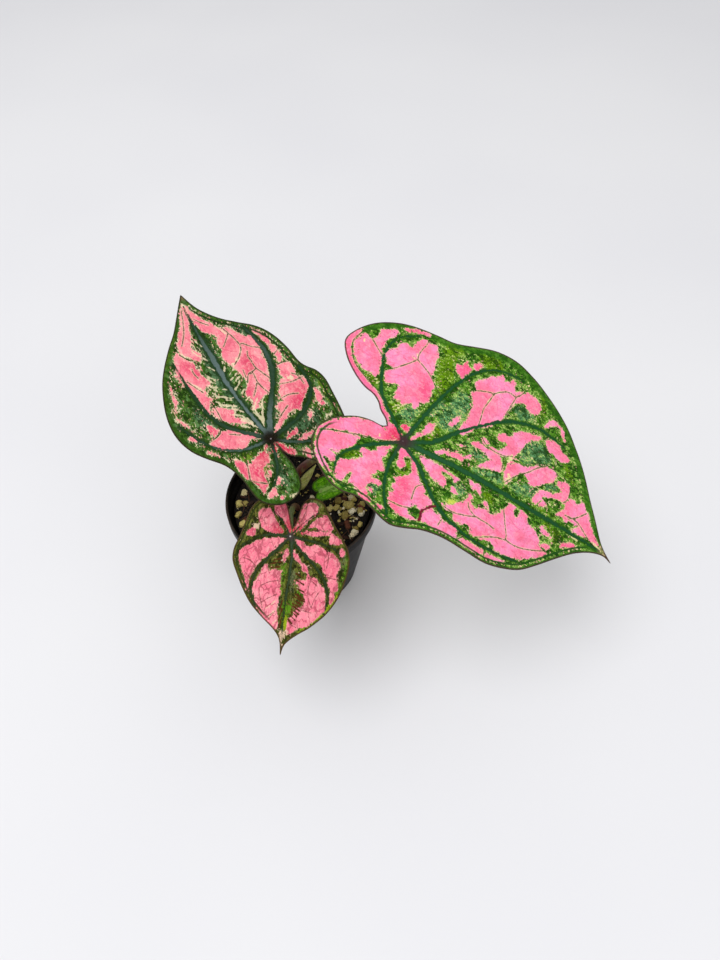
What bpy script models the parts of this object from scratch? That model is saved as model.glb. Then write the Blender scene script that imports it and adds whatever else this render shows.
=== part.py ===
"""A caladium in a small nursery pot.

Metres, +Z up. The origin is the centre of the pot's flat base. Each leaf is one body, a thin waved blade
with its petiole, and stands in a plain hole in the soil. The tuber lies in a hollow inside the soil.
"""

import math
import random

import bmesh
import bpy
from mathutils import Euler, Vector
from mathutils.geometry import delaunay_2d_cdt

MM = 0.001

# Driving dimensions, in millimetres
POT_HEIGHT = 58.0
RIM_RADIUS = 32.0
RIM_BAND = 5.5
BASE_RADIUS = 22.5
POT_WALL = 1.0
FLOOR = 1.4
DRAIN_HOLES = 6
DRAIN_RADIUS = 2.5
DRAIN_CIRCLE = 15.0
SOIL_BELOW_RIM = 6.0
SOIL_GAP = 0.35
SOIL_SWELL = 0.9
SOIL_RIPPLE = 0.5
STEM_HOLE_GAP = 0.35
BLADE_THICKNESS = 0.65
TUBER_RADIUS = 12.5
TUBER_HEIGHT = 20.0
TUBER_CENTRE = (0.0, 6.0, 28.0)
TUBER_GAP = 0.4

ROUND_STEPS = 56
STEM_SIDES = 2
SOIL_TOP = POT_HEIGHT - SOIL_BELOW_RIM

# A blade is drawn flat, in millimetres: u runs from the junction along the midrib to the tip, and v across
# it. Each side of the outline runs from the notch between the lobes to the tip. normal is the blade's own
# upward direction at the junction, and tip is the direction of its midrib.
LEAVES = {
    "leaf_right": {
        "junction": (38.8, -12.5, 104.0),
        "normal": (0.271, -0.261, 0.927),
        "tip": (0.830, -0.424, -0.362),
        "length": 96.3,
        "droop": 0.10,
        "back": 0.10,
        "cup": 0.06,
        "wave": 3.0,
        "waves": 7,
        "puff": 0.9,
        "puff_reach": 6.0,
        "grid": 6.6,
        "outline_steps": 2,
        "upper": [(-7.6, 2.6), (-9, 5), (-12, 7.5), (-14, 10.3), (-17, 12.4), (-21, 13.4), (-26, 16.5),
                  (-31.5, 22), (-34.8, 28.5), (-33, 34), (-28, 39.5), (-20, 44), (-11, 47), (-3, 48),
                  (4, 48.6), (12, 51.2), (20, 53.6), (29, 54.3), (38, 53), (47, 50), (55, 46.6), (62, 41.8),
                  (67.5, 35.5), (73, 26.5), (78, 18), (83, 11.5), (88, 6), (92.5, 2.5), (96.3, 0)],
        "lower": [(-7.6, 2.6), (-9.5, 1.4), (-14, 1.3), (-19, 0.2), (-24, -2.5), (-28.3, -6.5), (-30.3, -12),
                  (-29.3, -18), (-25.5, -23), (-20, -27.2), (-14, -29.4), (-7, -29), (-2, -30.4),
                  (3, -32.2), (7, -32.8), (12, -31.3), (18, -29), (26, -28), (35, -28.6), (43, -29),
                  (50, -27.3), (58, -23.5), (65, -17.6), (72, -11), (79, -5), (86, -0.8), (92, 1), (96.3, 0)],
        "veins": [
            [(0, -0.3), (14, 0.5), (30, 1.1), (50, 1.1), (70, 1.3), (90, 2)],
            [(0, 0), (-7, 7), (-14, 14), (-18, 24), (-19.4, 32), (-17, 39), (-10, 44)],
            [(0, 0), (3.5, 13), (8.5, 28), (15, 40), (24, 48)],
            [(0, 0), (10, 5), (18, 14.5), (27, 23.5), (37, 31.5), (50, 35.5), (62, 34)],
            [(0, -0.5), (-9, -6.5), (-15.5, -12), (-19.3, -18), (-18, -24)],
            [(0, -1), (-1.5, -10), (-0.5, -20), (4, -29.5)],
            [(0, -1), (9, -6.5), (17, -15), (27, -21), (42, -23.2), (56, -21)],
        ],
        "petiole": [(-3, 11.2, 38), (-2.2, 12.2, 48), (-0.4, 12.5, 57), (3.9, 10.5, 66), (12.5, 4.8, 79),
                    (24, -3.5, 91.5), (33, -9.4, 98.6)],
        "petiole_radii": (1.9, 1.25),
    },
    "leaf_left": {
        "junction": (-8.8, 1.3, 97.0),
        "normal": (-0.020, -0.320, 0.947),
        "tip": (-0.402, 0.870, 0.286),
        "length": 75.8,
        "droop": 0.10,
        "back": 0.08,
        "cup": 0.04,
        "wave": 2.4,
        "waves": 6,
        "puff": 0.8,
        "puff_reach": 5.0,
        "grid": 6.0,
        "outline_steps": 2,
        "upper": [(-3, -0.8), (-8, -1.4), (-13, -2), (-18, -1.7), (-22, -0.2), (-24.2, 3.5), (-24.2, 8.5),
                  (-22, 12.8), (-18.5, 15.5), (-14, 16.4), (-9, 16.8), (-4, 18.2), (0, 20.2), (5, 24.3),
                  (10, 27.6), (16, 29.6), (23, 30), (31, 28.5), (40, 25), (47, 20.8), (53, 15.9),
                  (59, 10.7), (66, 6.2), (71, 3.2), (75.8, 0)],
        "lower": [(-3, -0.8), (-7, -2.8), (-10.5, -5.2), (-14, -8.2), (-17.5, -11.5), (-19.2, -16),
                  (-18.3, -21), (-15, -25), (-10, -27.4), (-4, -28.5), (3, -29.3), (10, -29.9),
                  (15, -28.8), (19, -26.2), (23, -24.8), (30, -24), (37, -22.5), (43, -20.2), (48, -17),
                  (52, -13), (56, -9), (61, -5.4), (67, -2.4), (75.8, 0)],
        "veins": [
            [(0, 0), (10, 1.8), (22, 3.2), (34, 3.7), (46, 3.2), (58, 2.8), (70, 1.6)],
            [(0, 0), (6, 6), (12, 11.5), (20, 15.3), (32, 16.6), (46, 17)],
            [(0, 0), (0.8, 9), (4, 16), (12, 23), (22, 27)],
            [(0, 0), (-8, 2.5), (-17, 5.5)],
            [(0, 0), (8, -4), (16, -9.5), (24, -14.2), (34, -16.4), (48, -14.5)],
            [(0, 0), (1, -8), (3, -16), (10, -23.5), (20, -24)],
            [(0, 0), (-5, -6), (-9, -14), (-9.5, -24)],
        ],
        "petiole": [(-6.5, 5, 37.8), (-4.6, 5.2, 48), (-4.2, 5.6, 60), (-6.0, 5.6, 78), (-8.4, 3.4, 91)],
        "petiole_radii": (1.8, 1.2),
    },
    "leaf_front": {
        "junction": (-6.0, -29.0, 75.0),
        "normal": (-0.040, -0.260, 0.965),
        "tip": (-0.203, -0.943, -0.263),
        "length": 43.3,
        "droop": 0.12,
        "back": 0.06,
        "cup": -0.12,
        "wave": 1.2,
        "waves": 5,
        "puff": 0.6,
        "puff_reach": 3.5,
        "grid": 4.2,
        "outline_steps": 2,
        "upper": [(-3, 0.5), (-5, 1.7), (-9, 2.7), (-13, 3.8), (-15.7, 6.8), (-14.2, 11.2), (-10, 13.9),
                  (-5, 16.7), (0, 20), (4, 22.2), (9, 22.8), (16, 21.5), (22, 19.3), (28, 15.4), (33, 10.2),
                  (36, 5.6), (38.5, 2.2), (40.5, 0.7), (43.3, 0)],
        "lower": [(-3, 0.5), (-5.5, -0.3), (-9, -1.3), (-13, -2.8), (-15, -6.3), (-15.3, -10), (-13.8, -13.6),
                  (-10.5, -16.1), (-5, -17.8), (0, -19.2), (5, -21), (10, -20.9), (16, -18.2), (21, -15.6),
                  (25.5, -12.6), (30, -8.2), (34, -3.6), (37, -1.2), (40, -0.3), (43.3, 0)],
        "veins": [
            [(0, 0.3), (8, 1.4), (18, 0.8), (28, 0.2), (38, 0)],
            [(0, 0), (5, 4), (10, 9.5), (16, 14), (22, 15.8), (28, 14.6)],
            [(0, 0), (1, 6), (2, 12), (4, 17.5), (7, 20)],
            [(0, 0), (5, -4.2), (10, -8.7), (15, -12.2), (21, -12.8), (27, -10.5)],
            [(0, 0), (-0.3, -8), (1, -13), (4, -18)],
            [(0, 0), (-6, -3.5), (-11, -8.5)],
            [(0, 0), (-5, 4), (-10, 9.5)],
        ],
        "petiole": [(-0.5, 0.5, 38.2), (-1.6, -0.6, 48), (-3.2, -5, 59), (-4.9, -13, 66.5), (-5.6, -21, 70.2),
                    (-5.9, -26.5, 71.4)],
        "petiole_radii": (1.4, 0.95),
    },
    "leaf_young": {
        "junction": (8.0, -4.0, 66.0),
        "normal": (-0.150, -0.250, 0.957),
        "tip": (0.960, 0.160, 0.190),
        "length": 20.0,
        "droop": 0.10,
        "back": 0.10,
        "cup": 0.55,
        "wave": 0.0,
        "waves": 1,
        "puff": 0.2,
        "puff_reach": 2.0,
        "grid": 2.8,
        "outline_steps": 2,
        "upper": [(-1, 0), (-2.6, 1.2), (-3.4, 3.4), (-1.5, 5.6), (2, 6.6), (6, 6.4), (11, 5),
                  (16, 2.4), (20, 0)],
        "lower": [(-1, 0), (-2.6, -1.2), (-3.4, -3.4), (-1.5, -5.6), (2, -6.6), (6, -6.4), (11, -5),
                  (16, -2.4), (20, 0)],
        "veins": [[(0, 0), (9, 0), (17, 0)]],
        "petiole": [(5, 3.2, 38.1), (7.2, 0.8, 48), (8.1, -1.8, 57), (8.2, -3.4, 62)],
        "petiole_radii": (1.3, 0.9),
    },
}

SPEAR_LINE = [(1.2, 6.4, 39), (0.2, 8.6, 50), (1.6, 8.9, 55), (4.0, 8.9, 60), (7.4, 8.7, 67)]
SPEAR_RADII = [1.3, 1.3, 1.75, 1.55, 0.25]

GRAINS = 36
GRAIN_RADIUS = (1.2, 1.9)
BARK_CHIPS = 24
BARK_LENGTH = (4.0, 6.5)
CHUNK_SEED = 11
CHUNK_STEM_CLEARANCE = 5.0

MATERIALS = {
    "black_plastic": ((0.012, 0.012, 0.013), 0.38),
    "soil": ((0.030, 0.020, 0.013), 0.90),
    "leaf": ((0.10, 0.25, 0.06), 0.45),
    "young_leaf": ((0.22, 0.42, 0.05), 0.45),
    "spear": ((0.62, 0.62, 0.26), 0.50),
    "tuber": ((0.20, 0.12, 0.07), 0.85),
}


def clear_scene():
    for old in list(bpy.data.objects):
        bpy.data.objects.remove(old, do_unlink=True)


def make_material(name):
    colour, roughness = MATERIALS[name]
    material = bpy.data.materials.new(name)
    material.use_nodes = True
    shader = material.node_tree.nodes["Principled BSDF"]
    shader.inputs["Base Color"].default_value = (*colour, 1.0)
    shader.inputs["Roughness"].default_value = roughness
    shader.inputs["Metallic"].default_value = 0.0
    return material


def add_object(name, data, collection, material=None):
    obj = bpy.data.objects.new(name, data)
    collection.objects.link(obj)
    if material:
        data.materials.append(material)
    return obj


def mesh_from_bmesh(name, bm):
    mesh = bpy.data.meshes.new(name)
    bm.to_mesh(mesh)
    bm.free()
    return mesh


def hide_as_tool(obj):
    obj.hide_render = True
    obj.display_type = "WIRE"


def add_boolean(obj, tool, operation):
    modifier = obj.modifiers.new(operation.title() + " " + tool.name, "BOOLEAN")
    modifier.operation = operation
    modifier.solver = "EXACT"
    modifier.object = tool


def evaluated_mesh(obj):
    bpy.context.view_layer.update()
    graph = bpy.context.evaluated_depsgraph_get()
    return bpy.data.meshes.new_from_object(obj.evaluated_get(graph), depsgraph=graph)


# ---- curves ----

def catmull_point(before, start, end, after, t):
    """One point of a smooth curve between start and end."""
    squared = t * t
    cubed = squared * t
    return 0.5 * (2 * start + (end - before) * t + (2 * before - 5 * start + 4 * end - after) * squared
                  + (3 * start - before - 3 * end + after) * cubed)


def smooth_line(points, steps):
    """An open smooth curve through the points, with steps pieces in each span."""
    knots = [Vector(p) for p in points]
    knots = [2 * knots[0] - knots[1]] + knots + [2 * knots[-1] - knots[-2]]
    line = []
    for i in range(1, len(knots) - 2):
        for k in range(steps):
            line.append(catmull_point(knots[i - 1], knots[i], knots[i + 1], knots[i + 2], k / steps))
    line.append(knots[-2])
    return line


def tube_mesh(name, points, radii, grow=0.0):
    """A closed tube along the points, in millimetres, as a mesh in metres."""
    curve = bpy.data.curves.new(name + "_line", "CURVE")
    curve.dimensions = "3D"
    curve.bevel_depth = 1.0
    curve.bevel_resolution = STEM_SIDES
    curve.use_fill_caps = True
    spline = curve.splines.new("POLY")
    spline.points.add(len(points) - 1)
    for knot, point, radius in zip(spline.points, points, radii):
        knot.co = (*(Vector(point) * MM), 1.0)
        knot.radius = (radius + grow) * MM
    guide = bpy.data.objects.new(name + "_line", curve)
    bpy.context.scene.collection.objects.link(guide)
    mesh = evaluated_mesh(guide)
    bpy.data.objects.remove(guide, do_unlink=True)
    bm = bmesh.new()
    bm.from_mesh(mesh)
    bmesh.ops.remove_doubles(bm, verts=bm.verts, dist=0.000001)
    bmesh.ops.recalc_face_normals(bm, faces=bm.faces)
    bm.to_mesh(mesh)
    bm.free()
    mesh.name = name
    return mesh


# ---- leaf blades ----

def leaf_frame(leaf):
    """The junction and the blade's three directions: along the midrib, across it, and up."""
    normal = Vector(leaf["normal"]).normalized()
    along = Vector(leaf["tip"])
    along = (along - along.dot(normal) * normal).normalized()
    across = normal.cross(along)
    return Vector(leaf["junction"]), along, across, normal


def segment_distance(point, start, end):
    span = end - start
    t = max(0.0, min(1.0, (point - start).dot(span) / span.length_squared))
    return (point - start - t * span).length


def line_distance(point, line):
    return min(segment_distance(point, line[i], line[i + 1]) for i in range(len(line) - 1))


def inside(point, loop):
    """Whether a flat point is inside a closed loop, by counting crossings."""
    crossings = False
    previous = loop[-1]
    for corner in loop:
        if (corner.y > point.y) != (previous.y > point.y):
            share = (point.y - corner.y) / (previous.y - corner.y)
            if point.x < corner.x + share * (previous.x - corner.x):
                crossings = not crossings
        previous = corner
    return crossings


def blade_height(leaf, veins, point):
    """How far the blade stands above its plane, with its droop, cup, waved margin and puffed panels."""
    u, v = point
    length = leaf["length"]
    bend = -leaf["droop"] * max(u, 0.0) ** 2 - 2 * leaf["back"] * min(u, 0.0) ** 2 + 2 * leaf["cup"] * v * v
    reach = min(line_distance(point, vein) for vein in veins) / leaf["puff_reach"]
    puff = leaf["puff"] * (1.0 - math.exp(-reach * reach))
    edge = (math.hypot(u, v) / length) ** 2
    wave = leaf["wave"] * edge * math.sin(leaf["waves"] * math.atan2(v, u))
    return bend / length + puff + wave


def blade_loop(leaf):
    upper = smooth_line(leaf["upper"], leaf["outline_steps"])
    lower = smooth_line(leaf["lower"], leaf["outline_steps"])
    return lower + upper[-2:0:-1]


def grid_points(leaf, loop, veins):
    """A triangular grid inside the outline, clear of the outline and of the veins."""
    step = leaf["grid"]
    row_height = step * math.sqrt(3) / 2
    low_u = min(p.x for p in loop)
    low_v = min(p.y for p in loop)
    rows = int((max(p.y for p in loop) - low_v) / row_height) + 1
    columns = int((max(p.x for p in loop) - low_u) / step) + 1
    points = []
    for row in range(rows + 1):
        for column in range(columns + 1):
            point = Vector((low_u + (column + 0.5 * (row % 2)) * step, low_v + row * row_height))
            if not inside(point, loop) or line_distance(point, loop + loop[:1]) < 0.45 * step:
                continue
            if min(line_distance(point, vein) for vein in veins) > 0.40 * step:
                points.append(point)
    return points


def blade_surface(name, leaf):
    """The blade as an open triangulated surface in metres, with an edge along every main vein."""
    loop = blade_loop(leaf)
    veins = [smooth_line(vein, 2) for vein in leaf["veins"]]
    points = list(loop)
    edges = [(i, (i + 1) % len(loop)) for i in range(len(loop))]
    junction_index = len(points)
    points.append(Vector((0.0, 0.0)))
    for vein in veins:
        previous = junction_index
        for point in vein[1:]:
            edges.append((previous, len(points)))
            previous = len(points)
            points.append(point)
    points += grid_points(leaf, loop, veins)
    flat, _, faces = delaunay_2d_cdt(points, edges, [], 1, 0.00001)[:3]
    junction, along, across, normal = leaf_frame(leaf)
    bm = bmesh.new()
    verts = []
    for point in flat:
        place = junction + point.x * along + point.y * across + blade_height(leaf, veins, point) * normal
        verts.append(bm.verts.new(place * MM))
    for face in faces:
        bm.faces.new([verts[i] for i in face])
    bmesh.ops.recalc_face_normals(bm, faces=bm.faces)
    if sum((f.normal for f in bm.faces), Vector()).dot(normal) < 0:
        bmesh.ops.reverse_faces(bm, faces=bm.faces)
    return mesh_from_bmesh(name, bm)


def petiole_line(leaf):
    """The petiole's centre line and radii, ending square to the blade and inside its thickness."""
    junction, _, _, normal = leaf_frame(leaf)
    base_radius, top_radius = leaf["petiole_radii"]
    knots = list(leaf["petiole"]) + [tuple(junction - 2.2 * top_radius * normal)]
    line = smooth_line(knots, 3)
    radii = [base_radius + (top_radius - base_radius) * i / (len(line) - 1) for i in range(len(line))]
    line += [junction - 0.9 * top_radius * normal, junction - 0.1 * normal]
    radii += [top_radius, 0.72 * top_radius]
    return line, radii


def make_leaf(name, leaf, collection, tools, material):
    blade = add_object(name, blade_surface(name, leaf), collection, material)
    thickness = blade.modifiers.new("Thickness", "SOLIDIFY")
    thickness.thickness = BLADE_THICKNESS * MM
    thickness.offset = 0.0
    line, radii = petiole_line(leaf)
    petiole = add_object(name + "_petiole", tube_mesh(name + "_petiole", line, radii), tools)
    hide_as_tool(petiole)
    add_boolean(blade, petiole, "UNION")
    return blade


# ---- pot ----

def wall_radius(z):
    """The pot's outer radius at height z, below the rim band."""
    under_rim = RIM_RADIUS - 1.4
    return BASE_RADIUS + (under_rim - BASE_RADIUS) * z / (POT_HEIGHT - RIM_BAND)


def inner_radius(z):
    return wall_radius(z) - POT_WALL


def turned(name, profile, collection, material):
    """A closed turned shape from a profile that starts and ends on the axis, outer side downwards."""
    bm = bmesh.new()
    verts = [bm.verts.new((x * MM, 0.0, z * MM)) for x, z in profile]
    for start, end in zip(verts, verts[1:]):
        bm.edges.new((start, end))
    obj = add_object(name, mesh_from_bmesh(name, bm), collection, material)
    screw = obj.modifiers.new("Turn", "SCREW")
    screw.steps = ROUND_STEPS
    screw.render_steps = ROUND_STEPS
    screw.use_merge_vertices = True
    screw.merge_threshold = 0.00001
    return obj


def make_pot(collection, tools, material):
    band_low = POT_HEIGHT - RIM_BAND
    lip = RIM_RADIUS - 1.1
    profile = [
        (0.0, FLOOR),
        (inner_radius(FLOOR) - 0.8, FLOOR),
        (inner_radius(FLOOR + 0.8), FLOOR + 0.8),
        (inner_radius(band_low - 1.5), band_low - 1.5),
        (lip, band_low + 0.6),
        (lip + 0.1, POT_HEIGHT - 0.3),
        (lip + 0.35, POT_HEIGHT),
        (RIM_RADIUS - 0.3, POT_HEIGHT),
        (RIM_RADIUS, POT_HEIGHT - 0.3),
        (RIM_RADIUS - 0.15, band_low + 0.3),
        (RIM_RADIUS - 0.4, band_low),
        (wall_radius(band_low) + 0.05, band_low),
        (wall_radius(1.2), 1.2),
        (BASE_RADIUS - 1.0, 0.0),
        (0.0, 0.0),
    ]
    pot = turned("pot", profile, collection, material)
    for i in range(DRAIN_HOLES):
        angle = 2 * math.pi * i / DRAIN_HOLES
        bm = bmesh.new()
        bmesh.ops.create_cone(bm, cap_ends=True, segments=16, radius1=DRAIN_RADIUS * MM,
                              radius2=DRAIN_RADIUS * MM, depth=4 * FLOOR * MM)
        hole = add_object(f"drain_{i}", mesh_from_bmesh(f"drain_{i}", bm), tools)
        spot = Vector((DRAIN_CIRCLE * math.cos(angle), DRAIN_CIRCLE * math.sin(angle), FLOOR / 2))
        hole.location = spot * MM
        hide_as_tool(hole)
        add_boolean(pot, hole, "DIFFERENCE")
    return pot


# ---- soil ----

def soil_height(x, y):
    """The height of the soil's surface, with low swells."""
    return (SOIL_TOP + SOIL_SWELL * math.sin(0.19 * x + 0.6) * math.cos(0.23 * y - 0.4)
            + SOIL_RIPPLE * math.sin(0.47 * x - 0.31 * y))


def soil_body():
    """The packed soil as a turned shape whose top follows soil_height."""
    low = FLOOR + SOIL_GAP
    top_rings = [0.0, 4.0, 8.0, 12.0, 16.0, 20.0, 24.0, 27.0]
    edge = inner_radius(SOIL_TOP - SOIL_SWELL - SOIL_RIPPLE) - SOIL_GAP
    profile = [(r, SOIL_TOP) for r in top_rings] + [(edge, SOIL_TOP)]
    profile += [(inner_radius(low + 1.2) - SOIL_GAP, low + 1.2), (inner_radius(low) - SOIL_GAP - 1.2, low)]
    profile.append((0.0, low))
    guide = turned("soil_guide", profile, bpy.context.scene.collection, None)
    mesh = evaluated_mesh(guide)
    bpy.data.objects.remove(guide, do_unlink=True)
    for vertex in mesh.vertices:
        if vertex.co.z > (SOIL_TOP - 1.0) * MM:
            vertex.co.z = soil_height(vertex.co.x / MM, vertex.co.y / MM) * MM
    mesh.name = "soil"
    return mesh


def stem_points():
    """Where each stem leaves the soil, as x and y."""
    lines = [leaf["petiole"] for leaf in LEAVES.values()] + [SPEAR_LINE]
    return [Vector(min(line, key=lambda p: abs(p[2] - SOIL_TOP))[:2]) for line in lines]


def chunk_places(count, half_size, draw):
    """Places for chunks on the soil, clear of the stems and of the pot's wall."""
    stems = stem_points()
    reach = inner_radius(SOIL_TOP) - SOIL_GAP - half_size - 0.3
    places = []
    while len(places) < count:
        radius = reach * math.sqrt(draw.random())
        angle = draw.uniform(0, 2 * math.pi)
        place = Vector((radius * math.cos(angle), radius * math.sin(angle)))
        if all((place - stem).length > CHUNK_STEM_CLEARANCE for stem in stems):
            places.append(place)
    return places


def add_chunk(name, bm, shape, place, lift, draw, chunks):
    """Shape, turn and half sink one chunk, and add it to the chunks' collection."""
    turn = Euler((draw.uniform(-0.3, 0.3), draw.uniform(-0.3, 0.3), draw.uniform(0, 2 * math.pi)))
    ground = Vector((place.x, place.y, soil_height(place.x, place.y) + lift))
    for vertex in bm.verts:
        vertex.co *= Vector(shape)
        vertex.co.rotate(turn)
        vertex.co = (vertex.co + ground) * MM
    add_object(name, mesh_from_bmesh(name, bm), chunks)


def make_chunks(draw, chunks):
    """Pumice grains and bark chips, half sunk in the surface."""
    for i, place in enumerate(chunk_places(GRAINS, GRAIN_RADIUS[1], draw)):
        radius = draw.uniform(*GRAIN_RADIUS)
        bm = bmesh.new()
        bmesh.ops.create_icosphere(bm, subdivisions=1, radius=radius)
        shape = (1.0, draw.uniform(0.7, 0.95), draw.uniform(0.65, 0.85))
        add_chunk(f"grain_{i}", bm, shape, place, 0.25 * radius, draw, chunks)
    for i, place in enumerate(chunk_places(BARK_CHIPS, BARK_LENGTH[1] / 2, draw)):
        bm = bmesh.new()
        bmesh.ops.create_cube(bm, size=1.0)
        shape = (draw.uniform(*BARK_LENGTH), draw.uniform(2.0, 3.2), draw.uniform(1.2, 1.8))
        add_chunk(f"bark_{i}", bm, shape, place, draw.uniform(0.1, 0.4), draw, chunks)


def tuber_mesh(name, grow):
    """The flattened tuber, with a slightly hollowed crown and a fuller lower half."""
    bm = bmesh.new()
    bmesh.ops.create_uvsphere(bm, u_segments=20, v_segments=12, radius=1.0)
    for vertex in bm.verts:
        swell = 1.0 + 0.05 * math.sin(3 * math.atan2(vertex.co.y, vertex.co.x) + 0.7) * (1 - vertex.co.z ** 2)
        vertex.co.x *= (TUBER_RADIUS + grow) * swell
        vertex.co.y *= (TUBER_RADIUS + grow) * swell
        vertex.co.z *= TUBER_HEIGHT / 2 + grow
        vertex.co += Vector(TUBER_CENTRE)
        vertex.co *= MM
    return mesh_from_bmesh(name, bm)


def make_soil(collection, tools, material):
    soil = add_object("soil", soil_body(), collection, material)
    chunks = bpy.data.collections.new("chunks")
    bpy.context.scene.collection.children.link(chunks)
    make_chunks(random.Random(CHUNK_SEED), chunks)
    joined = soil.modifiers.new("Chunks", "BOOLEAN")
    joined.operation = "UNION"
    joined.solver = "EXACT"
    joined.operand_type = "COLLECTION"
    joined.collection = chunks
    soil.data = evaluated_mesh(soil)
    soil.modifiers.clear()
    for chunk in list(chunks.objects):
        bpy.data.objects.remove(chunk, do_unlink=True)
    bpy.data.collections.remove(chunks)
    hollow = add_object("tuber_hollow", tuber_mesh("tuber_hollow", TUBER_GAP), tools)
    hide_as_tool(hollow)
    add_boolean(soil, hollow, "DIFFERENCE")
    stems = {name: petiole_line(leaf) for name, leaf in LEAVES.items()}
    stems["spear"] = (smooth_line(SPEAR_LINE, 3), spear_radii())
    for name, (line, radii) in stems.items():
        buried = [(p, r) for p, r in zip(line, radii) if p[2] < SOIL_TOP + 6.0]
        below = Vector(buried[0][0]) + Vector((0.0, 0.0, -6.0))
        points = [below] + [p for p, _ in buried]
        hole_radii = [buried[0][1]] + [r for _, r in buried]
        hole = add_object(name + "_hole", tube_mesh(name + "_hole", points, hole_radii, STEM_HOLE_GAP), tools)
        hide_as_tool(hole)
        add_boolean(soil, hole, "DIFFERENCE")
    return soil


# ---- rolled leaf and tuber ----

def spear_radii():
    """The rolled leaf's radius at each point of its smooth line."""
    return [p[0] for p in smooth_line([(r, 0.0) for r in SPEAR_RADII], 3)]


def make_spear(collection, material):
    mesh = tube_mesh("spear", smooth_line(SPEAR_LINE, 3), spear_radii())
    return add_object("spear", mesh, collection, material)


def make_tuber(collection, material):
    return add_object("tuber", tuber_mesh("tuber", 0.0), collection, material)


def shade_round(obj):
    obj.data.shade_smooth()
    obj.data.set_sharp_from_angle(angle=math.radians(35))


def main():
    clear_scene()
    collection = bpy.data.collections.new("caladium")
    tools = bpy.data.collections.new("caladium_tools")
    bpy.context.scene.collection.children.link(collection)
    bpy.context.scene.collection.children.link(tools)
    materials = {name: make_material(name) for name in MATERIALS}
    pieces = [make_pot(collection, tools, materials["black_plastic"]),
              make_soil(collection, tools, materials["soil"]),
              make_tuber(collection, materials["tuber"]),
              make_spear(collection, materials["spear"])]
    for name, leaf in LEAVES.items():
        finish = materials["young_leaf" if name == "leaf_young" else "leaf"]
        pieces.append(make_leaf(name, leaf, collection, tools, finish))
    for piece in pieces:
        shade_round(piece)


main()
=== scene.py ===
import math
import random
from types import SimpleNamespace

import bmesh
import bpy
import numpy as np
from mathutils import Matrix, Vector
from mathutils.geometry import delaunay_2d_cdt


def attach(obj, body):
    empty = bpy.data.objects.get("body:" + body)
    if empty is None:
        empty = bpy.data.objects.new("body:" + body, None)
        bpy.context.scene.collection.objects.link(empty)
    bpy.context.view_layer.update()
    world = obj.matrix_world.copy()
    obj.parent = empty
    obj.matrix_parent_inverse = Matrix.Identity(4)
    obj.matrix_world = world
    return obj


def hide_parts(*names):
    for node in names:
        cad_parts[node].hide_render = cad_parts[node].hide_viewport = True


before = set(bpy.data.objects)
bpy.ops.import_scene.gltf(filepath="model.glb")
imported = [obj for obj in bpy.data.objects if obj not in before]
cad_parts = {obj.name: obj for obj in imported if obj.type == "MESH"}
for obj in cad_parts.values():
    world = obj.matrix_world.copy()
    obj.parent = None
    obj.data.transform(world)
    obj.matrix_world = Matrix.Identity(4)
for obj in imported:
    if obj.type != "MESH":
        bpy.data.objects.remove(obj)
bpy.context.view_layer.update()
mm = 0.001
far = 9.0  # a gap in millimetres beyond which nothing is drawn
glossTint = (1.0, 1.0, 0.4, 1.0)  # keeps the sheen on a leaf from turning blue
print("frame loaded")


# small helpers for node trees

def seen(red, green, blue):
    # a colour given as 0 to 255, as Blender's linear colour
    channels = []
    for level in (red, green, blue):
        share = level / 255
        channels.append(share / 12.92 if share <= 0.04045 else ((share + 0.055) / 1.055) ** 2.4)
    return (*channels, 1.0)


def readLook(values):
    # a dictionary of user values by name, its colours turned into Blender's
    known = {name: seen(*value) if isinstance(value, tuple) else value for name, value in values.items()}
    return SimpleNamespace(**known)


def feed(tree, socket, value):
    if isinstance(value, bpy.types.NodeSocket):
        tree.links.new(value, socket)
    elif value is not None:
        socket.default_value = value


def put(tree, kind, values=None, **settings):
    made = tree.nodes.new(kind)
    for name, setting in settings.items():
        setattr(made, name, setting)
    for socket, value in (values or {}).items():
        feed(tree, made.inputs[socket], value)
    return made


def calc(tree, operation, first, second=None, third=None):
    return put(tree, "ShaderNodeMath", {0: first, 1: second, 2: third}, operation=operation).outputs[0]


def times(tree, value, factor):
    return calc(tree, "MULTIPLY", value, factor)


def scaleAdd(tree, value, factor, plus):
    return calc(tree, "MULTIPLY_ADD", value, factor, plus)


def centred(tree, value):
    return calc(tree, "SUBTRACT", value, 0.5)


def vectorMath(tree, operation, first, second=None, third=None, scale=None):
    made = put(tree, "ShaderNodeVectorMath", {0: first, 1: second, 2: third}, operation=operation)
    if scale is not None:
        feed(tree, made.inputs["Scale"], scale)
    return made.outputs[0]


def axes(tree, place):
    return put(tree, "ShaderNodeSeparateXYZ", {0: place}).outputs


def rise(tree, value, low, high):
    # 0 below low, 1 above high, smooth between; low may be the larger one
    values = {"Value": value, "From Min": low, "From Max": high}
    made = put(tree, "ShaderNodeMapRange", values, interpolation_type="SMOOTHSTEP")
    return made.outputs["Result"]


def blend(tree, share, under, over):
    made = put(tree, "ShaderNodeMix", data_type="RGBA")
    for socket, value in zip((0, 6, 7), (share, under, over)):
        feed(tree, made.inputs[socket], value)
    return made.outputs[2]


def paint(tree, under, over, mask, share):
    return blend(tree, times(tree, mask, share), under, over)


def cloud(tree, place, size, detail=2.0, roughness=0.5):
    values = {"Vector": place, "Scale": 1 / size, "Detail": detail, "Roughness": roughness}
    return put(tree, "ShaderNodeTexNoise", values).outputs["Fac"]


def cells(tree, place, size, feature="F1"):
    return put(tree, "ShaderNodeTexVoronoi", {"Vector": place, "Scale": 1 / size}, feature=feature)


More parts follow.
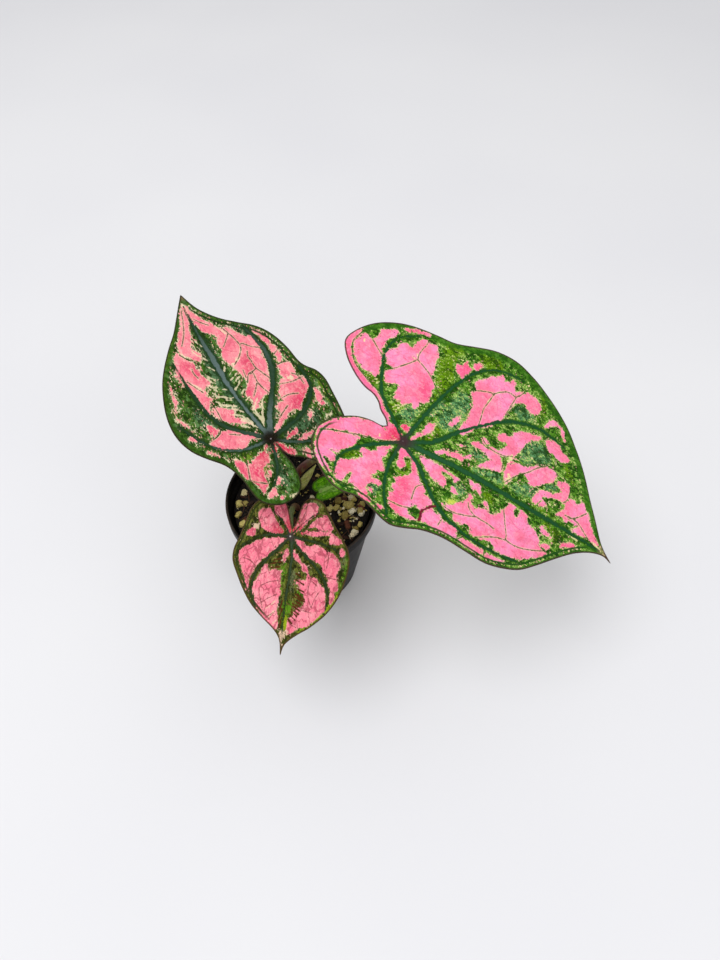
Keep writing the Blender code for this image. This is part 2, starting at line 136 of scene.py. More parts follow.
def warped(tree, place, scale, reach, detail=2.0):
    # the place, moved about by a slow noise
    noise = put(tree, "ShaderNodeTexNoise", {"Vector": place, "Scale": scale, "Detail": detail})
    return vectorMath(tree, "MULTIPLY_ADD", noise.outputs["Color"], reach, place)


def newGroup(name, kind, inputs, outputs):
    group = bpy.data.node_groups.new(name, kind)
    for label, socketType, value in inputs:
        socket = group.interface.new_socket(label, in_out="INPUT", socket_type=socketType)
        if value is not None:
            socket.default_value = value
    for label, socketType in outputs:
        group.interface.new_socket(label, in_out="OUTPUT", socket_type=socketType)
    entry = group.nodes.new("NodeGroupInput")
    way = group.nodes.new("NodeGroupOutput")
    return group, entry.outputs, way.inputs


def useGroup(tree, group, values):
    made = tree.nodes.new("ShaderNodeGroup")
    made.node_tree = group
    for socket, value in values.items():
        feed(tree, made.inputs[socket], value)
    return made.outputs


def newFinish(name):
    finish = bpy.data.materials.new(name)
    finish.use_nodes = True
    tree = finish.node_tree
    return finish, tree, tree.nodes["Principled BSDF"]


def dress(tree, shader, skin, rough, gloss=None):
    for socket, value in (("Base Color", skin), ("Roughness", rough), ("Specular IOR Level", gloss)):
        feed(tree, shader.inputs[socket], value)


def bump(tree, shader, height, distance, strength):
    made = put(tree, "ShaderNodeBump", {"Height": height, "Distance": distance, "Strength": strength})
    tree.links.new(made.outputs["Normal"], shader.inputs["Normal"])


def objectPlace(tree):
    # the point on the piece in millimetres
    where = tree.nodes.new("ShaderNodeTexCoord").outputs["Object"]
    return vectorMath(tree, "MULTIPLY", where, (1 / mm, 1 / mm, 1 / mm))


# shader node groups that several finishes share

vector = "NodeSocketVector"
number = "NodeSocketFloat"
whole = "NodeSocketInt"
material = "NodeSocketMaterial"


def makeRaggedGroup():
    # turns a distance to a patch border into a mask with the jagged, cell by cell border of a variegated leaf
    group, given, result = newGroup("raggedPatch", "ShaderNodeTree",
                                    [("Gap", number, 0.0), ("Place", vector, None), ("Sway", number, 2.4),
                                     ("Tooth", number, 1.6), ("Softness", number, 0.10)],
                                    [("Mask", number), ("Rim", number), ("Gap", number)])
    sway = centred(group, cloud(group, given["Place"], 2.2, 4.0, 0.7))
    sway = times(group, sway, given["Sway"])
    moved = warped(group, given["Place"], 1.4, (0.9, 0.9, 0.0))
    ragged = calc(group, "ADD", given["Gap"], sway)
    for size, share in ((1.7, 0.60), (0.75, 0.50)):
        tooth = put(group, "ShaderNodeSeparateColor", {"Color": cells(group, moved, size).outputs["Color"]})
        tooth = times(group, centred(group, tooth.outputs[0]), given["Tooth"])
        ragged = scaleAdd(group, tooth, share, ragged)
    feed(group, result["Gap"], ragged)
    low = times(group, given["Softness"], -1.0)
    feed(group, result["Mask"], rise(group, ragged, low, given["Softness"]))
    inner = rise(group, ragged, 0.42, 0.08)
    outer = rise(group, ragged, -0.42, -0.10)
    feed(group, result["Rim"], times(group, inner, outer))
    return group


def makeFleckGroup():
    # uneven flecks and short streaks; Share is how much of the surface they cover
    group, given, result = newGroup("leafFlecks", "ShaderNodeTree",
                                    [("Place", vector, None), ("Size", number, 0.8),
                                     ("Share", number, 0.2)], [("Mask", number), ("Tone", number)])
    scale = calc(group, "DIVIDE", 1.0, given["Size"])
    fleck = put(group, "ShaderNodeTexNoise", {"Vector": given["Place"], "Scale": scale, "Detail": 3.0,
                                              "Roughness": 0.62})
    level = scaleAdd(group, given["Share"], -0.42, 0.69)
    above = calc(group, "SUBTRACT", fleck.outputs["Fac"], level)
    feed(group, result["Mask"], rise(group, above, 0.0, 0.025))
    feed(group, result["Tone"], rise(group, cloud(group, given["Place"], 3.1, 1.0), 0.42, 0.58))
    return group


def makeReliefGroup():
    # the fine quilted relief of a leaf or stem skin, 0 to 1
    group, given, result = newGroup("skinRelief", "ShaderNodeTree",
                                    [("Place", vector, None), ("Cell", number, 1.4),
                                     ("Grain", number, 0.3)], [("Height", number)])
    scale = calc(group, "DIVIDE", 1.0, given["Cell"])
    moved = warped(group, given["Place"], 0.9, (1.6, 1.6, 1.6))
    net = put(group, "ShaderNodeTexVoronoi", {"Vector": moved, "Scale": scale}, feature="DISTANCE_TO_EDGE")
    quilt = rise(group, net.outputs["Distance"], 0.0, 0.34)
    fine = cloud(group, given["Place"], 0.28, 2.0, 0.6)
    height = calc(group, "ADD", quilt, times(group, fine, given["Grain"]))
    feed(group, result["Height"], height)
    return group


def makeMosaicGroup():
    # small irregular fields, each with its own tone from 0 to 1, and the dark net between the larger ones
    group, given, result = newGroup("leafMosaic", "ShaderNodeTree",
                                    [("Place", vector, None), ("Size", number, 2.0)],
                                    [("Tone", number), ("Net", number)])
    moved = warped(group, given["Place"], 1.1, (1.8, 1.8, 0.0), 3.0)
    tone = 0.0
    for part, share in ((1.0, 0.45), (0.42, 0.35), (0.2, 0.20)):
        scale = calc(group, "DIVIDE", 1.0 / part, given["Size"])
        fieldTone = put(group, "ShaderNodeTexVoronoi", {"Vector": moved, "Scale": scale})
        shade = put(group, "ShaderNodeSeparateColor", {"Color": fieldTone.outputs["Color"]}).outputs[0]
        tone = scaleAdd(group, shade, share, tone)
    scale = calc(group, "DIVIDE", 1.0, given["Size"])
    net = put(group, "ShaderNodeTexVoronoi", {"Vector": moved, "Scale": scale}, feature="DISTANCE_TO_EDGE")
    feed(group, result["Tone"], tone)
    feed(group, result["Net"], rise(group, net.outputs["Distance"], 0.12, 0.03))
    return group


raggedPatch = makeRaggedGroup()
leafMosaic = makeMosaicGroup()
leafFlecks = makeFleckGroup()
skinRelief = makeReliefGroup()
print("shader groups made")


sheetShift, sheetSpan = 50, 220  # millimetres: a leaf's drawing laid out on its texture sheet

# leaves: flat drawings in millimetres, u along the midrib from the junction to the tip, v across;
# every outline and line is written as u,v pairs

leafRight = {
    "junction": (38.8, -12.5, 104.0), "normal": (0.271, -0.261, 0.927), "tip": (0.83, -0.424, -0.362),
    "length": 96.3, "droop": 0.1, "back": 0.1, "cup": 0.06, "wave": 3.0, "waves": 7, "puff": 0.9,
    "puffReach": 6.0, "grid": 0.62, "thickness": 0.52, "ribHeight": 0.62, "ribWidth": 0.75, "groove": 0.16,
    "upper": [-7.6,2.6, -9,5, -12,7.5, -14,10.3, -17,12.4, -21,13.4, -26,16.5, -31.5,22, -34.8,28.5,
     -33,34, -28,39.5, -20,44, -11,47, -3,48, 4,48.6, 12,51.2, 20,53.6, 29,54.3, 38,53, 47,50, 55,46.6,
     62,41.8, 67.5,35.5, 73,26.5, 78,18, 83,11.5, 88,6, 92.5,2.5, 96.3,0],
    "lower": [-7.6,2.6, -9.5,1.4, -14,1.3, -19,0.2, -24,-2.5, -28.3,-6.5, -30.3,-12, -29.3,-18, -25.5,-23,
     -20,-27.2, -14,-29.4, -7,-29, -2,-30.4, 3,-32.2, 7,-32.8, 12,-31.3, 18,-29, 26,-28, 35,-28.6, 43,-29,
     50,-27.3, 58,-23.5, 65,-17.6, 72,-11, 79,-5, 86,-0.8, 92,1, 96.3,0],
    # each main vein: half widths along it, how strongly a grey sheen is painted along it, then its points
    "veins": [
     ([1.01, 0.86, 0.32], [0.5, 0.2, 0], [0,-0.3, 14,0.5, 30,1.1, 50,1.1, 70,1.3, 90,2]),
     ([0.57, 0.45, 0.18], [0.2, 0.08, 0], [0,0, -7,7, -14,14, -18,24, -19.4,32, -17,39, -10,44]),
     ([0.7, 0.55, 0.36, 0.16], [0.3, 0.12, 0], [0,0, 3.5,13, 8.5,28, 13,37, 18,43.4, 26,47.8, 36,49.4]),
     ([0.75, 0.61, 0.32], [0.3, 0.12, 0], [0,0, 10,5, 18,14.5, 27,23.5, 37,31.5, 50,35.5, 62,34]),
     ([0.7, 0.49, 0.2], [0.2, 0.08, 0], [0,-0.5, -9,-6.5, -15.5,-12, -19.3,-18, -18,-24]),
     ([0.75, 0.53, 0.27], [0.2, 0.08, 0], [0,-1, -1.5,-10, -0.5,-20, 4,-29.5]),
     ([0.75, 0.61, 0.27], [0.3, 0.12, 0], [0,-1, 9,-6.5, 17,-15, 27,-21, 42,-23.2, 56,-21]),
    ],
    "fineVeins": [
     [-13,12, -17,15, -23,17.6, -28,21, -31,25.6, -32,30, -30.6,34],
     [0,0, -5,-3, -10,-4.8, -15,-6, -20,-7.6, -25,-9.2, -29,-11], [-28,34.4, -25.5,33, -22.5,30.8, -20,29],
     [-6,44, -6.1,41.6, -7.1,38.3, -7.1,34.1, -4,32.4, -0.9,30.8, 2.8,27.8],
     [-7.3,33.4, -10,29.9, -13.3,26.3, -16.5,24], [3,27.6, 6.2,25.3],
     [38.5,46.9, 36.4,43, 35,40.9, 34.3,37.1, 33.6,32.2],
     [35,40.9, 31.1,40.9, 28.3,39.2, 25.9,36.7, 25.2,33.6, 24.1,29, 24.5,25.8, 24.8,22],
     [25.9,37, 22,35.6, 18.6,34], [27.8,17.6, 30,15.5, 33,14.6, 38,14.9, 41.5,16.6],
     [41.8,5, 45.5,10, 49.5,13.8, 52.5,17.5, 55.5,20],
     [44.8,-4, 47.3,-10.1, 49.1,-13.8, 49.8,-15.7, 55,-15.6, 61,-13.6, 66.4,-11],
     [49.8,-15.7, 45.4,-16.9, 41.7,-18.8, 37.5,-21.4],
     [30.8,-10.1, 32,-12.3, 35.4,-13.8, 39.8,-13.8, 43.5,-14.4],
     [23,-16.4, 26.5,-16.8, 31.7,-15.4, 35.4,-13.8], [12.4,-12.6, 10.4,-15, 10.4,-20],
     [39,9, 38.6,12, 38.2,14.6], [68.9,16.5, 68.8,12.4, 67.6,10.4], [78.5,11.6, 75.5,8.4, 72,6],
     [-6.5,-27.4, -9.5,-26, -12,-26.4, -16.5,-26.2], [23.6,-21, 22.6,-24.5], [31.2,-25.6, 32.8,-23.8],
     [42.2,-24, 42.4,-27.2], [59.5,26, 59.4,21.5], [2.8,-24.5, 7,-24.6, 11,-23.6], [83,3.4, 76,6.6, 70,6.4],
    ],
    "scars": [
     [20,-17.6, 18.6,-18.6, 17,-20.4, 15.2,-22.4], [15.2,-22.4, 15.6,-24.6, 15.4,-26.6],
    ],
    "patches": [
     [-8.2,2, -7.4,3.7, -4.4,3.4, -2.2,1.8, -1.2,0, -2,-1, -5,-0.3, -8.8,0.6],
     [-1.6,-1.4, -5,0.2, -9,1, -15,0.8, -14,-3, -8,-3.4, -4,-2.4],
     [15.8,-23, 17.2,-20.6, 19,-19.2, 21,-20.4, 24,-21.2, 24,-22.6, 20,-23.8, 16.4,-25.2],
     [-31.5,30.5, -30.2,33.1, -29.5,34.7, -27.6,34.1, -25.6,33.4, -24.6,35.4, -24.3,38.3, -22.7,39.9,
      -20.4,40.9, -17.8,41.2, -17.8,39.6, -19.4,37.7, -20.7,36, -20.4,33.4, -21.1,30.5, -19.8,27.9,
      -18.8,25.3, -18.1,22.1, -18.8,19.5, -20.7,20.1, -23,19.8, -25.6,20.8, -28.2,22.7, -29.8,24.7,
      -30.8,26.9],
     [-30.8,35.4, -32.8,33.8, -34.3,31.2, -34.7,27.9, -33.6,24.7, -30.9,21.2, -28.2,18, -24.3,14.7,
      -20.4,12.4, -16.5,11.4, -14.2,10.8, -13.6,8.4, -10.7,6.2, -8.1,4.6, -8.3,7.1, -11.3,9.1, -13.3,11.7,
      -15.9,14, -19.1,15.6, -23,17.5, -26.3,19.8, -29.5,22.7, -31.1,25.3, -32.1,27.9, -31.8,30.5,
      -30.8,32.8],
     [-19.1,30.5, -18.1,32.8, -16.5,34.7, -15.9,37, -14.2,38, -12,38, -11,37.3, -10,39.6, -9.4,42.2,
      -8.1,43.8, -6.5,44.5, -5.5,43.5, -4.2,43.8, -2.2,43.8, -1.3,42.2, -0.3,39.6, -0.6,37, 0.4,33.1,
      0.7,30.5, 3,27.6, 3,24, 3.3,21.4, 2.3,18.8, 0.4,18.2, 0,14.9, -1.6,14.3, -2.9,15.6, -4.2,14.6,
      -5.5,13.3, -7.4,14.3, -9.4,14, -9.7,17.5, -10,20.1, -13.3,19.2, -14.6,18.8, -15.9,22.1, -15.9,24,
      -14.6,25.6, -17.2,26.3, -17.8,27.9],
     [-17.8,43, -13.5,45.2, -9,46.8, -6.5,47.2, -7,45.6, -11,44.8, -15.5,42.8],
     [7.6,40.4, 10,41.6, 10.8,44, 12.2,42.3, 14.3,41.6, 13.6,39.5, 12.2,38.1, 12.2,36, 10.1,37.1, 8.4,37.4],
     [14,43.4, 14.7,45.1, 17.1,46.2, 17.1,43.7, 15.4,42.7],
     [17.1,36.7, 18.5,38.8, 20.6,40.9, 22,42.7, 23.8,43.4, 24.8,45.1, 26.6,46.2, 28,44.4, 29.7,45.1,
      30.8,46.5, 31.8,46.9, 33.2,45.1, 33.6,43.7, 36.1,44.1, 38.2,45.5, 41,45.8, 43.8,45.5, 46.6,43.7,
      46.9,41.6, 45.2,39.2, 43.1,39.5, 41.3,39.2, 40.3,40.2, 38.2,40.2, 36.1,39.2, 35,37.1, 34.3,34.3,
      33.6,32.2, 32.9,29.7, 31.1,28.3, 29.7,25.1, 28,23, 25.5,21.6, 24.1,19.9, 21.7,16.7, 20.6,15, 18.2,15,
      18.5,18.1, 19.6,20.9, 19.2,25.1, 19.2,27.6, 17.8,30.1, 17.1,32.2, 18.2,34.3],
     [13.6,15.3, 14.3,17.8, 15.4,19.5, 16.4,20.6, 16.8,18.8, 15.4,15.7],
     [2.3,1.9, 2.8,4, 4.5,6.3, 5.6,8, 5.5,10.5, 6.8,12, 8.4,12.8, 8.9,10.5, 7.8,8, 6.8,6.4, 5.4,5.4, 4,3.4,
      3,2], [-3.2,5.8, -1.6,6.8, 0,6.8, 0.7,5.2, 0,3.9, -1.6,4.5],
     [12.1,1.8, 14.2,2.1, 16.1,3.3, 18.6,3.8, 20.8,3.8, 23.6,3.6, 23.9,5.5, 22.3,6.3, 21.1,6.6, 19.5,6.3,
      17.4,5.5, 15.2,4.6, 13.3,3],
     [39.2,24.8, 38.9,26.5, 41,28.7, 43.8,30.1, 47.3,31.5, 50.1,32.2, 51.1,31.1, 49.4,29, 47.3,28,
      45.9,25.8, 44.5,23, 44.1,22, 43.8,19.5, 42.4,16.7, 40.3,15.3, 38.2,14.6, 36.1,14.2, 32.5,13.9,
      31.8,15.3, 33.9,15.7, 36.1,16.7, 37.5,18.1, 37.8,19.9, 36.1,20.6, 34.3,20.2, 33.6,22, 34.6,23.7,
      36.8,24.4], [27.6,18.1, 29,18.1, 31.1,16.7, 29,14.6, 28,16.4],
     [24.8,13.9, 28.3,15.3, 31.8,13.9, 36.1,13.9, 38.9,11.1, 39.2,9, 37.5,7.6, 34.6,6.9, 31.1,5.5,
      29.4,5.5, 31.8,8.3, 33.2,10.4, 31.1,11.1, 27.6,11.8, 24.8,12.2], [19.6,9.4, 22.7,11.1, 22,9.7],
     [23.4,5.9, 25,8, 26.5,8.2, 25.5,6.2],
     [40.3,9.7, 40.8,13, 43,14.6, 46.6,15.3, 49,15.8, 51.2,18, 53.7,19.1, 55.6,20.7, 58.8,20.7, 61,20.4,
      61.7,17.9, 60.4,15.6, 57.5,13.7, 56.3,11.2, 54.4,9.9, 51.8,9.6, 49.3,11.2, 47.5,12, 45.5,10,
      43.5,6.6, 42.4,4.6, 41,6.5],
     [53.4,31.9, 54.7,33.5, 57.5,34.1, 60.1,33.1, 60.7,31.5, 63.3,30.9, 65.2,28.7, 63.6,26.8, 61.4,25.8,
      59.5,26.5, 57.5,27.4, 55.6,27.1, 54.4,29],
     [51.3,37.5, 51.6,40.5, 53,41.9, 56,42.3, 58,41.6, 60.5,39, 62,36.5, 60,37.6, 58.5,39.6, 57,40.8,
      55,40.4, 53.2,39.6, 52.6,38],
     [54.4,4.8, 55,7.4, 56,9.6, 58.2,10.5, 60.7,11.2, 63.3,12.1, 64.9,14, 65.2,15.3, 62.3,15.6, 62.6,17.2,
      64.9,17.9, 66.5,19.1, 68.1,17.5, 68.7,15, 69,12.4, 67.7,10.5, 64.5,9.9, 61.4,8.9, 58.8,7.7, 57.5,5.4,
      56.3,4.2], [58.2,5.5, 59.5,6.5, 61.5,6.3, 60,4.2, 58.8,4],
     [66.1,4.2, 66.8,6.4, 69,8, 68.4,10.5, 69.3,12.8, 71.6,13.4, 73.5,12.8, 74.7,14.4, 76,14.4, 77.9,12.8,
      79.8,10.9, 81.7,8.6, 84.3,7, 86.8,5.2, 89.4,3.8, 91.9,2.8, 86.2,3.2, 82.4,3.2, 79.2,2.6, 76.6,2.9,
      74.1,2.6, 76,4.2, 76.6,5.4, 73.5,5.1, 70.9,4.5, 69,5.4, 67.7,4.8],
     [-0.2,-2.9, -0.3,-4.6, 0.3,-6.4, 0.6,-8.2, 1.2,-9.9, 2.2,-10.9, 3.4,-10.5, 3.9,-9.3, 3.4,-7.9,
      2.8,-6.4, 3.2,-5.4, 4.8,-5.2, 5.8,-6.5, 6.4,-8.5, 7,-10.5, 6,-12.4, 4.5,-13.6, 2,-14.8, 1.5,-15.4,
      3.1,-16.5, 2.1,-18.6, 3.3,-20.1, 2.1,-21.9, 2.7,-24.3, 3.4,-25.6, 5,-27, 8,-28, 12,-27.8, 15,-27.2,
      14.8,-26.2, 12.5,-26.3, 10.8,-25.2, 10.5,-24, 11.5,-22.5, 13,-22.1, 15.2,-22.6, 15.8,-21.3,
      17.4,-19.4, 18.3,-17.6, 16.7,-16.3, 14.2,-15.7, 14.5,-14.4, 12.7,-12.6, 10.5,-10.7, 8.6,-8, 7.2,-6.2,
      5.5,-4.2, 2.8,-2.7],
     [8,-1.9, 10.5,-1.6, 14.2,-1.8, 17.4,-1.8, 19.2,-2.3, 23.6,-2.9, 25.5,-3.5, 24.5,-4.5, 23.3,-5.4,
      22.3,-3.8, 20.5,-3.5, 18,-3.7, 17.7,-4.5, 19.5,-5.4, 20.5,-7, 20.2,-9.1, 19.5,-10.1, 17.4,-8.5,
      14.9,-8.8, 12.7,-6.7, 10.5,-5.4, 8.6,-3.8], [22.7,-7.6, 24.2,-7.6, 25.8,-9.1, 23.9,-9.8, 22.7,-9.1],
     [28.3,-1, 32,-1, 33.9,-1.7, 34.2,-3.5, 34.8,-5.4, 33.2,-4.2, 32.3,-2.9, 31.4,-4.5, 29.8,-3.2,
      28.9,-2.3], [29.5,-7, 30.8,-6, 32,-7.6, 31.4,-9.1, 32.6,-10.4, 29.8,-10.7, 30.1,-8.8],
     [36.4,-6, 37.9,-6.3, 38.9,-8.2, 37.9,-8.8, 36.7,-7.9],
     [21.4,-15.6, 24,-15.2, 26.7,-12.8, 28.6,-10.7, 29.8,-10.1, 32.6,-10.4, 34.8,-10.7, 36.7,-8.8,
      38.5,-8.5, 40.4,-9.5, 42.9,-8.2, 44.2,-6.3, 44.8,-4.5, 46,-2.9, 46.3,-1.4, 47.9,-1, 49.4,-1.7,
      49.9,-4.7, 51.2,-4.6, 51.8,-1.6, 52.8,-0.9, 55,-2.2, 56.3,-4.1, 58.2,-5.4, 60.7,-6, 62.6,-7.9,
      63.6,-10.8, 66.5,-11.1, 68.2,-10.8, 67.6,-12.2, 65.2,-13.8, 62.6,-16.2, 60.1,-18.1, 56.3,-20,
      51.8,-21.4, 47.9,-21.9, 45.4,-21.6, 44.8,-20.4, 42.9,-20, 41,-20.4, 39.8,-21.3, 37.9,-20.7,
      35.4,-21.7, 34.2,-20.7, 34.8,-19.4, 32.3,-18.8, 29.8,-19.6, 27.3,-19.2, 26.1,-17.6, 23,-16.9],
     [63.6,-9.8, 65.8,-8.6, 67.7,-8.6, 67.1,-10.1, 64.5,-10.5],
     [16.1,-26, 15.8,-23.2, 17.4,-21.3, 19.8,-20, 22.3,-20.4, 24.5,-21.6, 28,-21.6, 29.8,-22.1, 30.4,-23.8,
      31.2,-25.7, 29.2,-26.3, 25.5,-26.6, 20.5,-26.4, 17.4,-26.3],
     [31.6,-25.7, 32.9,-24.2, 37.3,-24.4, 41,-24.2, 42,-25, 41.2,-26.9, 37.9,-27.2, 34.2,-26.9],
     [42.8,-27, 43,-25.2, 45.4,-24.3, 51.6,-23.5, 51,-24.4, 47.9,-25.7, 44.8,-26.9],
     [61,-3.5, 61.7,-2.2, 63.9,-3.1, 66.5,-3.5, 67.1,-5.1, 63.9,-5.7, 62.3,-4.7],
     [71.9,-4.4, 74.7,-2.8, 78.6,-1.6, 77.9,-3.5, 75.4,-4.7, 72.8,-6],
     [-3.1,-1.3, -6,-0.4, -7.8,0.6, -14,0.9, -19,-0.2, -24,-3, -28,-7.2, -29.8,-10.7, -28.2,-10, -24,-8.6,
      -19,-7.2, -15,-6, -13,-5.8, -12,-4.9, -10.3,-5.1, -6.5,-3.8, -4,-2.2],
     [-29.3,-11.3, -27,-9.9, -24.1,-8.8, -20.5,-7.9, -16.9,-7, -14.8,-7, -15.4,-8.8, -15.1,-9.9, -16,-11.1,
      -17.5,-12.9, -18.7,-14.4, -19.6,-15.9, -21.1,-16.2, -23.2,-16.8, -20.5,-17.4, -19.9,-18.6,
      -19.6,-19.8, -20.8,-21, -22.3,-20.4, -23.8,-20.4, -22.6,-21.6, -19.6,-23.1, -20.2,-24.5, -22,-24.3,
      -24.5,-23.2, -26.6,-21.3, -28,-18.7, -28.8,-15.5],
     [-2.9,-4.2, -6.1,-5.8, -7.9,-7.3, -7.6,-8.8, -10,-9.6, -12.1,-9.9, -13.3,-10.5, -12.4,-12,
      -11.8,-13.8, -12.7,-15.3, -14.5,-16.5, -16.9,-17.4, -18.4,-18.3, -18.7,-20.1, -18.1,-23.7,
      -16.3,-25.8, -14.4,-25.9, -14,-22.4, -12.6,-21.6, -12.4,-25.8, -10.3,-25.2, -9.7,-26.1, -7.9,-27.9,
      -6.1,-28.9, -3.7,-29.1, -2.5,-28.5, -3.7,-27.3, -4.9,-26.1, -6.1,-24.3, -5.8,-22.8, -4.3,-21.6,
      -1.9,-21, -1.7,-19.5, -3.4,-19.2, -5.5,-19.8, -6.4,-18.9, -5.2,-17.7, -4.3,-15.9, -2.8,-15.6,
      -2.2,-14.4, -3.4,-12.9, -4.6,-10.8, -4,-8.8, -3.7,-6.4],
     [-0.7,-28, 1,-28, 2.3,-28.6, 2,-29.7, 0.3,-29.6], [-5.2,-23.8, -3.9,-23.2, -3.4,-24.8, -4.6,-25.1],
     [-7.7,4.4, -6,4.3, -3,3.7, -1,2, -1.2,0.3, -4,0.6, -7.5,1, -7.8,2.6],
    ],
    "hotPatches": [
     [-8.2,2, -7.4,3.9, -4.4,3.6, -1.8,2, -0.8,0, -2,-1, -5,-0.3, -8.8,0.6],
     [0.4,-2, 2.6,-1.6, 5.4,-3.6, 7.8,-7, 8.2,-10, 6.6,-8.4, 4.4,-5, 3.2,-5.2, 4,-9.6, 2.2,-11.4, 0.6,-9,
      -0.2,-5], [-8.6,5.2, -6,4.4, -3,3.8, -0.6,2.4, -0.8,0, -4,0.2, -8,0.6, -8.2,2.6],
     [-7,5.5, -12.5,7, -15,11, -21,14, -27,17, -33,23, -35,29, -33.5,33, -31.8,31, -31.5,27, -29.5,23,
      -20,16, -14,12, -9,8.5],
     [-9,1.6, -14,1.6, -19,0.6, -24,-2.4, -28.5,-6.6, -30.5,-11, -28.6,-10, -25,-4.8, -19.5,-1.2, -14,0],
     [-2,18, 2.5,20, 3,26, -1,29, -3,24], [7,41.5, 12,45, 15,42, 12,36, 7.5,37], [13,42, 18,47, 18,43],
     [3,-14.5, 6.5,-14, 9,-20, 8,-27, 3.5,-25], [-6,-26, 2,-27, 3,-30, -5,-29.5],
     [0.2,-2, 0,-5, 1,-9.5, 3,-11, 4.2,-9, 3.2,-5, 6,-5, 4,-3], [71,-4, 79,-1, 78,-5, 72,-6.5],
     [-18,42.5, -9,47, -6,47.5, -7,45, -15,42.5], [-3.4,5.8, 0.2,7, 0.8,4, -1.6,4],
    ],
    # the small cream patch near -8,34 is a painted glint; the other two are cream flecks
    "creamPatches": [
     [40.4,16.8, 41.6,16.6, 42,14.6, 40.6,13, 39.6,14.4], [41.4,8, 42.4,9.6, 43.4,7, 42.2,4.8],
     [-9.6,32.2, -7.9,33.6, -7.3,35.6, -8.1,35.4, -9.2,33.6],
    ],
    # each stroke: its half width, then its points; the short strokes near -28,32 and -9,-2 and beside the
    # fine vein near 25,35 are painted glints, the rest are cream streaks
    "creamAndGlintStrokes": [
     (0.35, [25.2,35, 24.6,31.5]), (0.3, [26.4,37.4, 28.2,39.4]), (0.4, [59.5,26, 59.6,22.5]),
     (0.35, [-28.8,32.6, -28.2,30.8]), (0.3, [-9,-1.6, -8.6,-3]), (0.4, [38.2,-21.6, 38.8,-20.4]),
     (0.4, [43,-22.6, 43.6,-21]), (0.3, [39.6,-19.8, 42.6,-18.2]), (0.3, [72,0.2, 77,0.4, 80,0.6]),
     (0.3, [84,3.4, 89,2.6, 93,1.2]), (0.3, [-8.6,10.4, -7,12.6]), (0.3, [-7.2,10, -6,12.2]),
     (0.25, [-19.6,17.6, -17.6,19]), (0.25, [-17.6,16.8, -16.6,18.6]),
    ],
    "yellowPatches": [
     [22.8,-14.4, 23.6,-12.8, 25.4,-12, 26.6,-12.6, 25.8,-13.8, 24,-15],
    ],
    "limePatches": [
     [0.8,46, 1,41, 0.6,37, 1.8,33, 1.6,30, 4,28, 5.4,24, 8.6,28, 8.8,33, 7.4,37, 7,43, 9.6,46.4, 5,48],
     [4.5,20, 4.4,24, 6,26, 6,22], [7,3, 12,7, 12,11, 9.4,12, 9,8, 6.4,5], [-11,10, -7,14, -4.6,13, -7,8.6],
     [3,-6, 5,-5.6, 6.8,-9, 6,-12, 3,-14, 1.6,-12.4, 3.6,-11, 4.4,-9],
     [-22,18.5, -16,20.5, -15,17.5, -18,16.4, -21,16.5], [15,50, 22,51, 26,48, 20,44.5, 15,46.5],
     [-18,-12.6, -12.2,-12.4, -12.4,-15, -17.4,-16.4], [44,49, 48,46, 50,42, 48,41, 46.5,45],
     [62,26, 66,25, 70,20, 66,21],
     [63,-0.8, 66,-0.4, 71,-1, 73,-2.6, 70,-4, 71,-6, 68.6,-6.6, 67.6,-4, 64,-2.2],
     [36,-2, 40,-2.4, 40,-6, 36,-5], [52,4.6, 60,3.6, 68,3.4, 60,2.6],
    ],
    # grey patches: zones where a grey-green sheen is painted
    "greyPatches": [
     [9,16, 11,24, 13,30, 17,30, 18.6,25, 18,19, 16,14, 11,12],
     [22,12, 25,11.4, 30,11, 32.4,9.6, 30,7.4, 25,9], [28,4, 31,5, 35,6.4, 39,7, 41,4, 36,3, 30,2.5],
     [44.4,18, 44.8,24, 47.6,28, 51,30, 55,26, 58,23, 54,20.4, 51,18.6, 48,16.4],
     [-6,13, -5.5,8, -2.5,8, 0.5,9, 1,15, -3,15], [36,36, 38,39.5, 44,39, 47,38, 44,35.5, 39,34],
     [44,5, 50,9, 56,8.6, 54,5, 48,3.6], [57,12, 59,14, 63,15, 64,14, 60,11.6],
     [24,-9, 28,-9.6, 28,-5, 23,-6], [-7,-20.4, -3,-21, -1,-23, -3,-26, -6,-23], [5,14, 6,20, 9,24, 9,18],
    ],
    "petiole": [(-3, 11.2, 38), (-2.2, 12.2, 48), (-0.4, 12.5, 57), (3.9, 10.5, 66), (12.5, 4.8, 79),
     (24, -3.5, 91.5), (33, -9.4, 98.6)], "petioleRadii": (1.9, 1.25),
}
